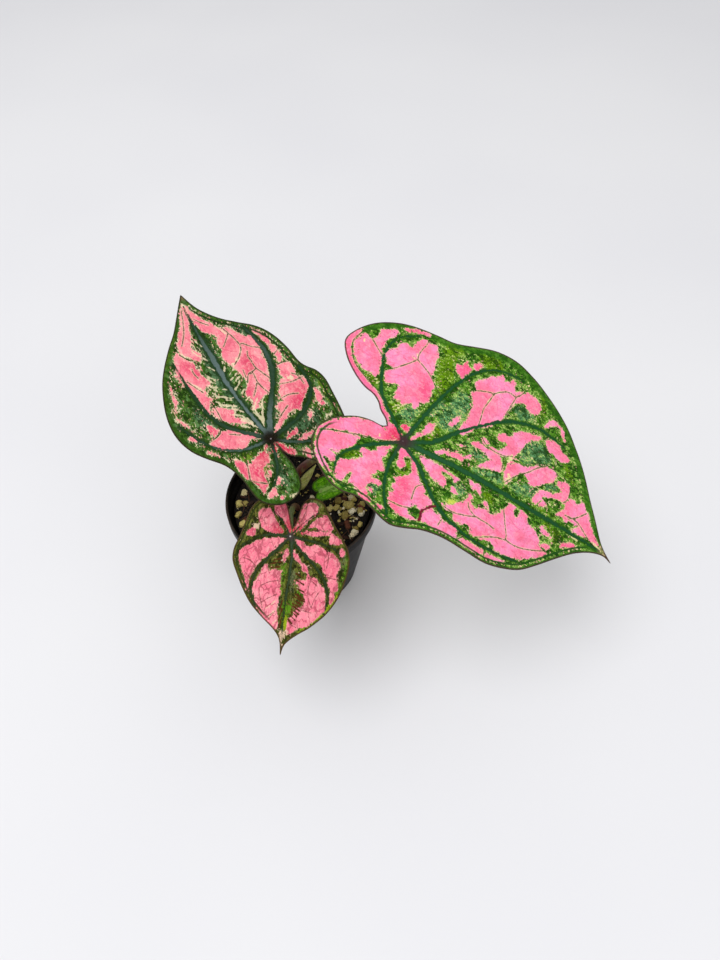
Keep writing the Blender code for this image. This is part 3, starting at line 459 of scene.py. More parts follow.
leafLeft = {
    "junction": (-8.8, 1.3, 97.0), "normal": (-0.02, -0.32, 0.947), "tip": (-0.402, 0.87, 0.286),
    "length": 75.8, "droop": 0.1, "back": 0.08, "cup": 0.04, "wave": 2.4, "waves": 6, "puff": 0.8,
    "puffReach": 5.0, "grid": 0.52, "thickness": 0.5, "ribHeight": 0.55, "ribWidth": 0.75, "groove": 0.14,
    "upper": [-3,-0.8, -8,-1.4, -13,-2, -18,-1.7, -22,-0.2, -24.2,3.5, -24.2,8.5, -22,12.8, -18.5,15.5,
     -14,16.4, -9,16.8, -4,18.2, 0,20.2, 5,24.3, 10,27.6, 16,29.6, 23,30, 31,28.5, 40,25, 47,20.8, 53,15.9,
     59,10.7, 66,6.2, 71,3.2, 75.8,0],
    "lower": [-3,-0.8, -6.5,-1.5, -9.2,-2.7, -10.9,-4.4, -12.4,-6.4, -14.4,-8.3, -17.5,-11.5, -19.2,-16,
     -18.3,-21, -15,-25, -10,-27.4, -4,-28.5, 3,-29.3, 10,-29.9, 15,-28.8, 19,-26.2, 23,-24.8, 30,-24,
     37,-22.5, 43,-20.2, 48,-17, 52,-13, 56,-9, 61,-5.4, 67,-2.4, 75.8,0],
    "veins": [
     ([1.2, 0.85, 0.75, 0.85, 1.2, 1.2, 0.7, 0.4, 0.25], [1, 1, 1, 1, 0.9, 0.6, 0.3, 0], [0,0, 10,1.5,
      20,2.7, 30,3.2, 40,2.9, 50,2.7, 58,2.4, 70,1.6]),
     ([1.1, 0.8, 0.7, 0.6, 0.3], [0.3, 0.05, 0], [0,0, 6,6, 12,11.5, 20,15.3, 32,16.6, 46,17]),
     ([0.9, 0.6, 0.4, 0.2], [0.8, 0.4, 0], [0,0, 0.8,9, 4,16, 12,23, 22,27]),
     ([0.7, 0.5, 0.2], [0.2, 0], [0,0, -7,1.9, -12,4, -15.5,7, -17.5,10.5]),
     ([1.3, 1.2, 0.9, 1.0, 0.9, 0.4], [0.9, 0.8, 0.1, 0.1, 0.4, 0.1], [0,0, 8,-4, 16,-9.5, 24,-14.2,
      34,-16.4, 48,-14.5]), ([1.0, 0.7, 0.7, 0.4], [0.1, 0], [0,0, 1,-8, 3,-16, 10,-23.5, 20,-24]),
     ([0.9, 0.6, 0.25], [0.5, 0.3, 0], [0,0, -5,-6, -9,-14, -9.5,-24]),
    ],
    "fineVeins": [
     [34,-3, 36.6,-6.6, 40,-9, 44,-8.9, 48,-8, 52,-6.8], [36,-15.2, 38.4,-12.5, 41.2,-10.5, 41.4,-9.3],
     [40.5,8.2, 43.5,10, 46,11.8, 49,13.2], [29.6,12.8, 33,14.2, 37,15.9], [26.9,-4.3, 30.2,-4.8],
     [27.2,-6.6, 28.4,-9.3, 29.6,-9.3], [33,-9.4, 35,-9.5, 37,-10.2], [16.6,-8.6, 22,-7.2, 27,-7.5],
     [22,-12, 26,-10.5, 29,-9.5, 33,-9.5], [18.3,-3, 20.5,-5, 22.6,-6.6], [36,11.6, 38.4,12.2, 40.6,12],
     [-14.6,9.8, -12.8,12.4, -11,14.2], [-2.6,12.6, -6,13, -10.6,14.6], [52,10.5, 57,7.4, 62,5.4, 68,3.4],
     [10.4,18.8, 11,16, 12.4,14.6], [15,12.2, 20,12, 25,12.2], [25.2,-17.4, 25,-19.2, 24,-21.4],
     [43.8,-3.4, 46,-5.6, 48.4,-7.6], [56,-3, 59,-0.8, 62,0.8], [58.4,3.8, 62,2.8, 68,2.2],
     [12,-12, 11.6,-15, 10.4,-18], [13,-22, 17,-21.6, 19,-20], [30,-18.4, 30.8,-20.6],
     [5.4,-7, 7,-10, 8,-12], [7,9, 9.4,12.4], [24.6,-3.8, 27.6,-5.8, 28.2,-9.3],
     [17.4,-14.4, 15.8,-18, 15.6,-22.8],
    ],
    "scars": [],
    "patches": [
     [52,8.6, 54,9.4, 58,7.8, 62,5.8, 67,3.6, 71,2, 68,1.6, 62,3.2, 57,5],
     [-17.4,12.8, -14.8,13.1, -12.2,13.8, -9.6,15.4, -5.7,16.4, -1.8,16.4, -0.7,15.4, -2.5,14.1, -4.4,12.5,
      -4.7,11.2, -3.8,8.6, -2.8,6, -3.8,4, -6,3.7, -7.7,5.3, -8.6,7.9, -10.9,8.9, -13.5,9.2, -15.5,9.9,
      -16.4,11.2], [-22.5,8.6, -21.4,8.4, -21.4,7.4, -22.4,7.3],
     [-20,12, -18.5,11.5, -17,9.3, -17.5,8, -19.8,8.8], [-17,7.2, -15.5,7, -14,5.2, -15.5,4.7, -16.5,5.5],
     [-12.5,7.5, -10.8,7.4, -10.8,6.3, -12,6.2], [-3,4, -1.5,3.4, -1.2,2.4, -2.2,2.6],
     [1.8,2.1, 2.4,4, 3.4,6, 2.7,7.9, 1.4,10.2, 2.4,11.8, 2.7,13.8, 3.7,15.7, 5,18, 6.6,19, 8.6,20.3,
      9.9,20.6, 10.5,18.6, 10.5,16.4, 11.8,14.4, 11.2,12.5, 9.2,9.9, 7.6,7.3, 6,4.7, 4,2.7, 2.7,2.1],
     [10.8,18.3, 13.8,18.3, 16.7,18.3, 16,17, 14.4,15.4, 12.5,14.7, 11.2,16.4],
     [8.6,3.5, 9.9,5.3, 11.8,7.3, 13.1,9.9, 14.4,11.2, 17,13.1, 20.3,13.9, 22.9,13.1, 21.6,11.2, 19,8.6,
      17.3,5.3, 16.4,6.3, 14.4,7.3, 13.1,6, 11.2,4, 9.2,3.1],
     [20.3,14.5, 22.2,16, 25.5,15.4, 29,15.6, 33.8,16.3, 37.5,16.6, 40.5,16.9, 41.2,18.2, 45.3,17.2,
      48.6,15.8, 50.3,14.1, 48.6,13.2, 45.3,11.9, 43.2,10.2, 40.9,10.4, 39.2,9.9, 36.5,10.1, 33.8,9.1,
      31.8,8.8, 30.4,9.8, 30.6,11.6, 27.4,11.8, 24.8,11.2, 23.4,13.3],
     [36,18, 39,18.6, 42,19.2, 40.6,17.8, 38,17.4],
     [41.9,7.7, 44.6,9.8, 47.3,11.8, 50.7,12.5, 54,12.1, 55.4,10.8, 58.8,8.7, 62.8,6.4, 67.6,4.4, 71,2.4,
      65.5,3.1, 60.1,3.7, 57.4,4.7, 54.7,5, 52,6.4, 50,7.4, 48,7, 45.9,5.7, 44.6,6],
     [13.8,0, 16.2,-1.8, 18,-1.3, 20,-0.5, 22.1,-1.8, 24,-3.4, 25.8,-3.9, 27.9,-3.6, 29.9,-3.2, 32,-2.6,
      33.3,-2.3, 35.6,-1.8, 37.7,-0.8, 40.8,-0.8, 42.6,-2, 44.6,-1.6, 47.3,-2.2, 50,-3.4, 52,-1.9,
      54.7,0.8, 58.8,1.6, 64.2,1.6, 68.2,1.3, 70.3,0.9, 65.5,-0.4, 62.8,-1.2, 59.5,-2.7, 56.8,-4.1,
      54.7,-5.1, 52,-6.5, 52,-8.5, 50,-9.8, 46.6,-11.2, 45.3,-12.5, 43.4,-13.7, 42.7,-14.8, 40.8,-15.8,
      38.8,-16.1, 36.7,-15.8, 35.6,-15.3, 33,-14.8, 30.5,-14.5, 27.9,-14.3, 25.8,-13.2, 23.2,-12.2,
      21.1,-11.7, 19,-10.6, 17.5,-9.6, 16.7,-8, 16.7,-6.5, 16.2,-5.4, 15.4,-3.9, 14.9,-2.8, 12.8,-2.3],
     [0.8,-2.6, 2.6,-3.6, 5,-6.5, 6.6,-7.8, 8.1,-8.5, 9.9,-8, 11.2,-9.6, 10.7,-10.6, 11.8,-11.9,
      12.8,-11.4, 14.9,-12.2, 15.4,-13, 17.2,-14, 18,-13.2, 19,-15.3, 18,-16.9, 20.6,-16.3, 22.7,-16.9,
      25,-17.4, 25,-18.4, 24.5,-20, 23.7,-21.5, 21.6,-22, 19.5,-21.8, 16.9,-21.5, 16.2,-23.1, 14.4,-23.9,
      12.8,-24.1, 11.2,-23.1, 10.2,-22, 9.4,-21, 8.1,-20, 7.3,-18.4, 6,-16.9, 4.6,-15.6, 5.4,-12.6, 4,-8.6,
      2,-5.8],
     [25.3,-18.9, 26.8,-18.3, 28.4,-18.8, 30.5,-18.2, 33,-18.2, 34.6,-18.9, 34.1,-20, 32,-20.5, 29.9,-21,
      27.9,-20.5, 25.8,-20],
     [35.1,-18.9, 37.2,-18.2, 40.8,-17.6, 44.5,-16.3, 44.7,-17.1, 41.4,-18.7, 38.2,-19.5, 35.6,-20],
     [5,-22.5, 7,-23.5, 9.5,-24.5, 8,-25.5, 5,-25, 1,-24.6, 1.4,-23],
     [-3.5,-5, -1.5,-7, -1.5,-10.5, -3.5,-9.5], [-6.5,-8, -5.2,-9.5, -5,-15, -6.2,-15.5, -7,-12],
     [-15,-8.5, -11,-8, -10,-9.5, -13,-10], [-1,-16.5, 1.5,-17, 1.3,-18.5, -0.8,-18],
     [11,23, 12.5,24.4, 14.5,25.8, 15.8,26.2, 15.5,25.2, 13.5,24],
     [3,20, 5,22, 6.5,23.2, 6.8,22, 5,20.6, 3.5,19.8],
     [18,23.5, 20,24.5, 23,26.4, 25.5,26.4, 22.5,25, 20,23.6],
     [27.5,26, 29,25.5, 31,24.2, 33,24.2, 35,23.6, 38,23.2, 40,22, 37,22.4, 34,22.8, 31,23, 29,24.5],
     [-8,0.8, -6.2,1.7, -4,1.7, -2.3,0.9, -2,-0.2, -4,-0.3, -6,0.3],
     [-10.6,-4.4, -9.5,-5.4, -8,-5.1, -6,-3.8, -3.5,-2.4, -1.8,-1.4, -2.2,-0.6, -4,-0.8, -7,-1.8, -9.4,-3],
    ],
    "hotPatches": [
     [-15.4,14.6, -9,15.2, -5.6,11.4, -7.6,7, -12,7, -15.4,10],
     [-0.4,-0.8, -2.6,-0.4, -6,-1.6, -9.8,-3.2, -13,-6, -12,-7.4, -8.6,-5.4, -5.2,-4, -1.8,-3],
     [-12,13.4, -8,16.5, -2,16.5, -2,14.5, -7,13], [-8,2, -3,2.4, -1.5,0.8, -3,-0.6, -8,-0.6],
     [-9,-4.5, -5,-2, -3,-1.2, -5,-3.5, -8,-5.5], [18,-0.5, 22,-1.5, 24,-4.2, 20,-4],
     [27,-5, 34,-6, 37,-11, 30,-10], [10.5,19, 17,18.6, 15,15, 12,14.6],
     [33,10, 40,14, 46,14.5, 44,11.5, 38,10.4], [4,-14, 8,-22, 14,-21, 9,-14],
    ],
    "creamPatches": [
     [34,-2.2, 35.5,-3, 37,-5.6, 35.8,-6.4, 34.4,-4.4], [-5,-21, -3,-21.5, -2,-24, -4,-24.6],
     [-24,2, -22.6,3, -22.6,6, -23.8,5.4], [16.4,-18, 18,-17.5, 18.4,-20, 16.4,-20.5],
     [66,2.2, 71,2.2, 73.4,0.8, 67,1], [-1.6,15, -0.4,16.2, 0.4,15.2, -0.6,14.4],
    ],
    "creamAndGlintStrokes": [
     (0.4, [13,4.2, 15,6.6, 16.4,9]), (0.3, [16,4.6, 18,7]), (0.45, [18.6,5.4, 20.4,8, 22,10.6]),
     (0.3, [21,4.8, 22.4,7]), (0.4, [23.6,6.4, 25,9, 26.6,10.8]), (0.25, [26,4.4, 27.4,6.4]),
     (0.35, [28,6.6, 30,9, 32,10.4]), (0.3, [31.6,5.6, 33.6,7.6, 36,8.8]), (0.25, [36,4.6, 39,6.6]),
     (0.3, [41,4.8, 45,7, 48.6,8.6]), (0.25, [48,3.8, 52,5.4]), (0.5, [5,-0.2, 8,-0.9, 11,-0.6, 13.5,-0.7]),
     (0.4, [8,-1.6, 11,-2.6, 13.6,-4.4]), (0.35, [12.6,-3, 15,-4.8, 16.4,-6.8]),
     (0.35, [10,-0.4, 13,0.2, 15,-1]), (0.3, [24.4,2.2, 25.3,0.4, 27.1,-1.8]),
     (0.3, [29,1.6, 29.6,-0.4, 30.6,-2.4]), (0.45, [33.6,1.6, 34.8,1, 36,0.2]),
     (0.3, [18,0.8, 18.8,-0.4, 19,-1.8]), (0.3, [21.6,1.2, 22.4,-0.4, 22.9,-1.8]),
     (0.3, [26.8,1.4, 27.8,0, 28.6,-2.6]), (0.3, [31.2,0.8, 32.2,-0.8, 32.8,-2.4]),
     (0.3, [37,0.6, 38.4,-0.4, 39,-1]), (0.5, [6,1.6, 8,3, 10,4, 12.6,6.2]),
     (0.4, [7.4,4, 9,5.6, 10.6,7.4]), (0.35, [8.4,2.6, 10.4,3.2, 13,5]), (0.3, [14.4,3.4, 16,4.6, 17.5,6]),
     (0.3, [18,4.4, 18.8,6.2]), (0.3, [21.9,3.9, 22.5,5.4, 24,7]), (0.35, [20.4,8, 22,9.6, 24,10.4]),
     (0.35, [24,8, 26,9.4, 28,9.8]), (0.3, [26,6.6, 27.6,8.4, 30,9]), (0.3, [30.6,6.8, 32,8.2, 34.6,8.6]),
     (0.35, [44.6,9.6, 47,11.7, 50,12.6]), (0.35, [29.6,12.2, 32,13.3, 35,14.6]),
     (0.3, [48.4,-7, 51,-6.2, 53.6,-5.2]), (0.3, [36.8,-6, 38.4,-8, 40,-8.6]),
     (0.3, [41.6,18, 43,18.6, 44.6,18]), (0.3, [51.6,-9, 51,-10.4]), (0.3, [6,6.6, 5,5]),
     (0.3, [13.6,-0.4, 15.4,-2, 17,-3.8]), (0.25, [-0.6,17.8, 1.4,18.4, 3,19.4]),
    ],
    "yellowPatches": [],
    "limePatches": [
     [-11.6,9, -8,8.4, -8,5.6, -11,6], [-4,14, 0,13.4, -0.6,9, -3,9],
     [30,29.6, 40,26, 47,21.6, 53,16.8, 59,11.6, 59,10, 52,15.4, 46,20.4, 39,24.4, 30,28],
     [-20,-14, -17.5,-12, -16,-14, -18,-20], [2,-26.5, 10,-28.6, 15,-27.4, 9,-26.6],
    ],
    "greyPatches": [
     [-4,-5, 1,-6, 3,-12, 3.5,-18, 1,-21, -4,-20, -5,-14],
     [4,1, 12,3.4, 22,5.8, 30,7, 36,7.4, 44,5.6, 52,4.6, 56,3.4, 52,1, 44,0.6, 36,1.4, 26,1, 14,0.6],
     [2,-2, 8,-2.8, 14,-7, 14.6,-10.4, 11,-9, 6,-6], [24,-14.4, 28,-14.8, 32,-16.4, 28,-17, 24.6,-16],
     [44,-12.5, 49,-11, 52,-10, 51,-13, 46,-17, 42,-16], [-20,4, -14,6, -8,3, -14,0.8],
     [14,14, 20,17, 28,18, 22,20.5, 17,20, 13,16], [15.4,4.4, 17.6,7.4, 19.4,7, 18,4.6],
    ],
    "petiole": [(-6.5, 5, 37.8), (-4.6, 5.2, 48), (-4.2, 5.6, 60), (-6.0, 5.6, 78), (-8.4, 3.4, 91)],
    "petioleRadii": (1.8, 1.2),
}
leafFront = {
    "junction": (-6.0, -29.0, 75.0), "normal": (-0.04, -0.26, 0.965), "tip": (-0.203, -0.943, -0.263),
    "length": 43.3, "droop": 0.12, "back": 0.06, "cup": -0.12, "wave": 1.2, "waves": 5, "puff": 0.6,
    "puffReach": 3.5, "grid": 0.42, "thickness": 0.46, "ribHeight": 0.42, "ribWidth": 0.55, "groove": 0.12,
    "upper": [-3,0.5, -5,1.7, -9,2.7, -13,3.8, -15.7,6.8, -14.2,11.2, -10,13.9, -5,16.7, 0,20, 4,22.2,
     9,22.8, 16,21.5, 22,19.3, 28,15.4, 33,10.2, 36,5.6, 38.5,2.2, 40.5,0.7, 43.3,0],
    "lower": [-3,0.5, -5.5,-0.3, -9,-1.3, -13,-2.8, -15,-6.3, -15.3,-10, -13.8,-13.6, -10.5,-16.1,
     -5,-17.8, 0,-19.2, 5,-21, 10,-20.9, 16,-18.2, 21,-15.6, 25.5,-12.6, 30,-8.2, 34,-3.6, 37,-1.2,
     40,-0.3, 43.3,0],
    "veins": [
     ([0.59, 0.36, 0.16], [0.5, 0.2, 0], [0,0.3, 8,1.4, 18,0.8, 28,0.2, 38,0]),
     ([0.59, 0.43, 0.2], [0.1, 0.04, 0], [0,0, 5,4, 10,9.5, 16,14, 22,15.8, 28,14.6]),
     ([0.51, 0.29, 0.18], [0.1, 0.04, 0], [0,0, 1,6, 2,12, 4,17.5, 7,20]),
     ([0.55, 0.36, 0.18], [0.1, 0.04, 0], [0,0, 5,-4.2, 10,-8.7, 15,-12.2, 21,-12.8, 27,-10.5]),
     ([0.59, 0.36, 0.18], [0.1, 0.04, 0], [0,0, -0.3,-8, 1,-13, 4,-18]),
     ([0.42, 0.25, 0.14], [0.1, 0.04, 0], [0,0, -6,-3.5, -11,-8.5]),
     ([0.42, 0.25, 0.14], [0.1, 0.04, 0], [0,0, -5,4, -10,9.5]),
    ],
    "fineVeins": [
     [28,10, 27.3,7, 26.5,4, 25,1], [33.5,5, 32.5,3, 30.5,0.8], [15,19.5, 14.8,17, 14.2,14],
     [14.5,9.5, 18.5,8.5, 22,8.5, 26,9.8], [20,12.5, 23,11, 26,10], [17,-3, 17.5,-6, 19,-9],
     [22,-3, 23.5,-6, 25,-8.5], [12,-12, 10,-14, 9,-17], [17,-13, 14,-16], [-12.8,-9, -9,-11.5, -5,-12.5],
     [-8.5,13, -9.5,10, -9,8.5], [-13.5,5.5, -10,5, -6,3.6], [28,-3, 30.5,-6.5], [3.5,13.5, 7,15, 11,14.5],
     [-3.2,11.5, -2.6,8, -1,5], [20,-9.8, 24,-9, 28,-7.6, 31,-5], [18,11.5, 16,9, 14.4,9.4],
    ],
    "scars": [
     [14,3.6, 15.4,6], [16.4,3.8, 18,6.6], [19.4,4, 20.6,6.8], [21.6,4, 23.4,7.2], [24,3.8, 25.6,7],
     [26,3.4, 27.6,6], [28,3, 29.6,5], [8.6,-2, 9.4,-5], [10,-2.4, 11,-6.6], [11.8,-2.8, 12.4,-6],
     [22.6,3.4, 24.2,7.4], [25,3.2, 26.6,6.6], [27,3, 28.8,5.6], [29.2,2.6, 31,4.6], [30.6,2, 32.2,3.4],
     [24,-0.8, 28,-1.8], [27,-0.7, 31,-1.6], [30,-0.5, 33.6,-1.2],
    ],
    "patches": [
     [5.2,2, 7.5,3.6, 10.2,5.9, 12,7.7, 14.7,8.6, 15.2,10.9, 17,11.8, 18.4,13.9, 20.6,14.5, 25.2,15.2,
      27.5,14.1, 29.3,12.7, 31.1,10.9, 32.9,9.1, 33.8,6.8, 34.3,5, 35.5,3.5, 36.3,1.8, 34,1.6, 31.5,1.6,
      30.2,2.3, 29.3,3.9, 27.9,3.6, 27,5, 25.2,6.8, 22.9,7.3, 21.1,6.8, 20.6,5.5, 18.4,5, 17.5,3.9, 16.1,5,
      16.5,7.3, 14.7,7.5, 13.4,6.8, 12.9,5.5, 11.5,5.5, 10.2,4.5, 8.8,2.7, 7,2, 5.6,1.8],
     [0.9,2, 1.5,4.3, 3.4,7, 2.7,9.5, 2.7,11.4, 4.7,13.6, 5.2,16.8, 6.1,17.7, 8.8,19.1, 11.1,19.5,
      13.8,18.6, 18.4,19.1, 19.7,18.2, 22.9,17.7, 24.3,16.6, 22,16.1, 19.7,16.1, 16.5,15.2, 13.8,14.3,
      12,13, 10.2,11.8, 8.8,10, 7.9,8.2, 6.5,6.8, 5.2,5, 3.8,3.4, 2,2.3],
     [-2.5,3, -5,3, -9,3.5, -13,5.5, -14,7.5, -12.5,9.5, -9.5,9, -6,6, -3.5,4.5],
     [-8.7,11, -9,13, -6.5,14.5, -4,16, -3,14, -3,11, -4,9, -3.5,6.5, -6,8],
     [-3,14, -2,16, -1.2,16, -0.7,12, -0.7,6, -1.5,4, -2.5,6, -2.3,10],
     [-1.6,15, -1,18, 1,19.5, 2,17, 1.5,14.5], [2.9,19, 4,20.8, 6,21, 5.5,18.8],
     [4.3,-0.3, 8,-0.3, 10.2,-1.5, 9,-2.3, 6,-1.5],
     [13.4,-1.8, 14.7,-2.3, 21.5,-1.8, 22.9,-2.3, 25.6,-2.3, 27.9,-2.3, 33.4,-1.8, 34.5,-2.4, 34.3,-4.1,
      32.5,-6.4, 30.2,-7.7, 27.5,-9.5, 25.6,-10.9, 22.9,-11.8, 20.6,-12.3, 18.4,-12, 15.6,-10.9, 13.8,-10,
      11.1,-8.6, 11.5,-7.3, 13.4,-6.4, 12.9,-4.1],
     [0.9,-1.8, 2.5,-2.3, 3.8,-4.1, 6.5,-6.8, 9.3,-9.5, 12,-11.8, 15.6,-13.6, 19.7,-14.1, 22,-13.6,
      20.5,-15, 17.5,-15.4, 15,-16.5, 13,-17.3, 11,-18.2, 8,-19, 5,-18, 4,-16, 2.7,-13.6, 1.5,-11.4,
      0.9,-7.7, 0.6,-4.5],
     [-12.5,-3.6, -10.7,-2.3, -7.5,-1.4, -3,-0.5, -1.2,-0.5, -2.5,-1.8, -4.4,-2.3, -6.2,-3.2, -7.5,-5,
      -8.9,-6.4, -11.2,-7.3, -12.5,-6.8],
     [-11.2,-8.6, -6.6,-6.4, -4.4,-4.5, -2.5,-3.2, -1.2,-2.3, -0.7,-4.1, -1,-6.8, -1.4,-8.6, -3,-10.9,
      -4.8,-11.8, -7.1,-13.2, -9.4,-13.2, -10.7,-10.9], [-2.8,-13.6, 0.2,-13.2, 0.2,-16.8, -2.1,-16.4],
     [-0.8,1, -3,0.6, -5,1.8, -9,2.8, -13,3.9, -13,5, -8,3.8, -3,2.8],
     [-0.8,-0.4, -3,0.4, -5.5,-0.3, -9,-1.3, -12.6,-2.7, -12,-3.6, -7,-2, -3,-1],
    ],
    "hotPatches": [
     [0,2, -3,0.4, -5,1.6, -11,3, -14,4.4, -13,5.2, -8,4.2, -2,3.4],
     [0,-1.6, -3,0.8, -5.5,0, -9,-1, -12.6,-2.4, -12,-3.8, -7,-2.6],
     [-7,2.4, -3,2.2, -0.8,1.4, -1,-1, -4,-1.4, -8,-1.2, -3.5,0.4],
     [-14.5,5, -9,3.8, -3,3.2, -9,2.4, -14,4.2], [-6,-4.5, -1.2,-3.5, -1.4,-7, -4,-8],
     [0.6,18, 3,20, 2.5,16.5], [-2.5,-14, 0.5,-13, 0.3,-16.5, -2,-17],
    ],
    "creamPatches": [
     [-4.8,-12.3, -2.5,-12.3, -2.6,-14.5, -4.8,-14.4], [6,2, 9,3.6, 8.5,2.8, 6.8,1.8],
     [34.5,2.4, 38,1, 42,0.2, 38,-1, 34.5,-1.6],
    ],
    "creamAndGlintStrokes": [
     (0.3, [24,-3, 26,-5, 27.4,-7]), (0.3, [28,-3.4, 30.4,-5.6]), (0.25, [31,-2.4, 33,-4]),
     (0.3, [30,-8.6, 33,-5.6, 36,-2.6]), (0.25, [8,-1.2, 10,-2.6]),
    ],
    "yellowPatches": [
     [30,1.8, 33,2.6, 34.6,1.2, 34.2,0.2, 31,0.2, 29,0.6],
     [21,19.4, 26,16.6, 30,12.8, 33.6,8.8, 35.4,5.8, 34,7, 30,11.6, 25.6,15.6, 21,18.6],
    ],
    "limePatches": [
     [25.6,3.2, 29,2.2, 33.5,2, 34.5,0.8, 34,-1, 30,-1.4, 26,-0.8, 24,0.4],
     [5,22.5, 9,22.8, 16,21.5, 22,19.3, 28,15.4, 33,10.2, 36,5.6, 34.5,6, 31,11, 27,15, 21,18.6, 15,20.3,
      9,21], [10,-0.4, 14,-0.3, 18,-1, 22,-1.2, 22,-2.4, 16,-2.4, 12,-2], [19,5, 21,6.6, 23,6.8, 22,5.2],
    ],
    "greyPatches": [
     [11,1.2, 15,3.4, 19,3.2, 20.5,2.4, 20,1.2, 15,1], [5,20.6, 8,22.4, 11.5,22, 12,20.4, 8,20],
     [24,-0.8, 27.5,-1.2, 27.5,-2.2, 24,-2], [-15.2,7, -13.5,11, -12.2,9.5, -14,6],
    ],
    "petiole": [(-0.5, 0.5, 38.2), (-1.6, -0.6, 48), (-3.2, -5, 59), (-4.9, -13, 66.5), (-5.6, -21, 70.2),
     (-5.9, -26.5, 71.4)], "petioleRadii": (1.4, 0.95),
}
leafYoung = {
    "junction": (8.0, -4.0, 66.0), "normal": (-0.15, -0.25, 0.957), "tip": (0.96, 0.16, 0.19),
    "length": 20.0, "droop": 0.1, "back": 0.1, "cup": 0.55, "wave": 0.0, "waves": 1, "puff": 0.2,
    "puffReach": 2.0, "grid": 0.34, "thickness": 0.46, "ribHeight": 0.4, "ribWidth": 0.5, "groove": 0.15,
    "upper": [-1,0, -2.2,1, -2.6,2.6, -1.2,4.2, 2,5, 6,4.7, 10,3.6, 14,1.7, 17,0],
    "lower": [-1,0, -2.2,-1, -2.6,-2.6, -1.2,-4.2, 2,-5, 6,-4.7, 10,-3.6, 14,-1.7, 17,0],
    "veins": [
     ([0.85, 0.6, 0.2], [0, 0], [0,0, 8,0, 15,0]),
    ],
    "fineVeins": [
     [1,0.2, 4,2, 8,3.6, 11,3.9], [5,0.2, 9,1.6, 13,2.3], [1,-0.2, 4,-2, 8,-3.6, 11,-3.9],
     [5,-0.2, 9,-1.6, 13,-2.3], [0,0, -1,2, 0,4.6], [0,0, -1,-2, 0,-4.6],
    ],
    "scars": [], "patches": [], "hotPatches": [], "creamPatches": [], "creamAndGlintStrokes": [],
    "yellowPatches": [], "greyPatches": [],
    "limePatches": [
     [0,1.2, 7,2, 15,1, 15,-1, 7,-2, 0,-1.2],
    ],
    "petiole": [(5, 3.2, 38.1), (7.2, 0.8, 48), (8.1, -1.8, 57), (8.2, -3.4, 62)],
    "petioleRadii": (1.3, 0.9),
}


# flat geometry on arrays of points

def smoothLine(points, steps, closed=False):
    knots = np.array(points, float)
    if knots.ndim == 1:
        knots = knots.reshape(-1, 2)
    if closed:
        knots = np.vstack([knots[-1:], knots, knots[:2]])
    else:
        knots = np.vstack([2 * knots[0] - knots[1], knots, 2 * knots[-1] - knots[-2]])
    line = []
    for a, b, c, d in zip(knots, knots[1:], knots[2:], knots[3:]):
        for step in range(steps):
            t = step / steps
            line.append(0.5 * (2 * b + (c - a) * t + (2 * a - 5 * b + 4 * c - d) * t * t
                               + (3 * b - a - 3 * c + d) * t ** 3))
    if not closed:
        line.append(knots[-2])
    return np.array(line)


def evenLine(line, spacing):
    lengths = np.concatenate([[0], np.cumsum(np.linalg.norm(np.diff(line, axis=0), axis=1))])
    count = max(2, int(round(lengths[-1] / spacing)) + 1)
    wanted = np.linspace(0, lengths[-1], count)
    return np.stack([np.interp(wanted, lengths, line[:, axis]) for axis in range(line.shape[1])], 1)


def lineGap(points, line):
    # the distance to a line, and how far along it the nearest point is, 0 to 1
    nearest = np.full(len(points), 1e9)
    share = np.zeros(len(points))
    pieces = len(line) - 1
    for i in range(pieces):
        span = line[i + 1] - line[i]
        t = np.clip(((points - line[i]) @ span) / max(span @ span, 1e-12), 0, 1)
        gap = np.linalg.norm(points - line[i] - t[:, None] * span, axis=1)
        closer = gap < nearest
        nearest[closer] = gap[closer]
        share[closer] = (i + t[closer]) / pieces
    return nearest, share


def linesGap(points, lines):
    nearest = np.full(len(points), far)
    for line in lines:
        nearest = np.minimum(nearest, lineGap(points, smoothLine(line, 3))[0])
    return nearest


def loopGap(points, loop):
    return lineGap(points, np.vstack([loop, loop[:1]]))[0]


def insideLoop(points, loop):
    crossed = np.zeros(len(points), bool)
    x, y = points[:, 0], points[:, 1]
    for (x1, y1), (x2, y2) in zip(np.roll(loop, 1, axis=0), loop):
        if y1 == y2:
            continue
        crossed ^= ((y2 > y) != (y1 > y)) & (x < x2 + (y - y2) * (x1 - x2) / (y1 - y2))
    return crossed


def patchGap(points, patches):
    # how deep a point lies inside the nearest patch, negative outside, in millimetres
    depth = np.full(len(points), -far)
    for patch in patches:
        loop = smoothLine(patch, 2, closed=True)
        near = np.all((points > loop.min(0) - far) & (points < loop.max(0) + far), axis=1)
        if not near.any():
            continue
        gap = loopGap(points[near], loop)
        depth[near] = np.maximum(depth[near], np.where(insideLoop(points[near], loop), gap, -gap))
    return depth


def strokeDepth(points, strokes):
    # how deep a point lies inside the nearest stroke, which is thinner at both ends
    depth = np.full(len(points), -far)
    for halfWidth, line in strokes:
        gap, share = lineGap(points, smoothLine(line, 3))
        depth = np.maximum(depth, halfWidth * (1 - (2 * share - 1) ** 4) - gap)
    return depth


# the blades: a dense sheet on the leaf's own surface, with a thickness, a rounded edge and ribs below

def leafFrame(leaf):
    normal = np.array(leaf["normal"]) / np.linalg.norm(leaf["normal"])
    along = np.array(leaf["tip"]) - normal * np.dot(leaf["tip"], normal)
    along = along / np.linalg.norm(along)
    return np.array(leaf["junction"]), along, np.cross(normal, along), normal


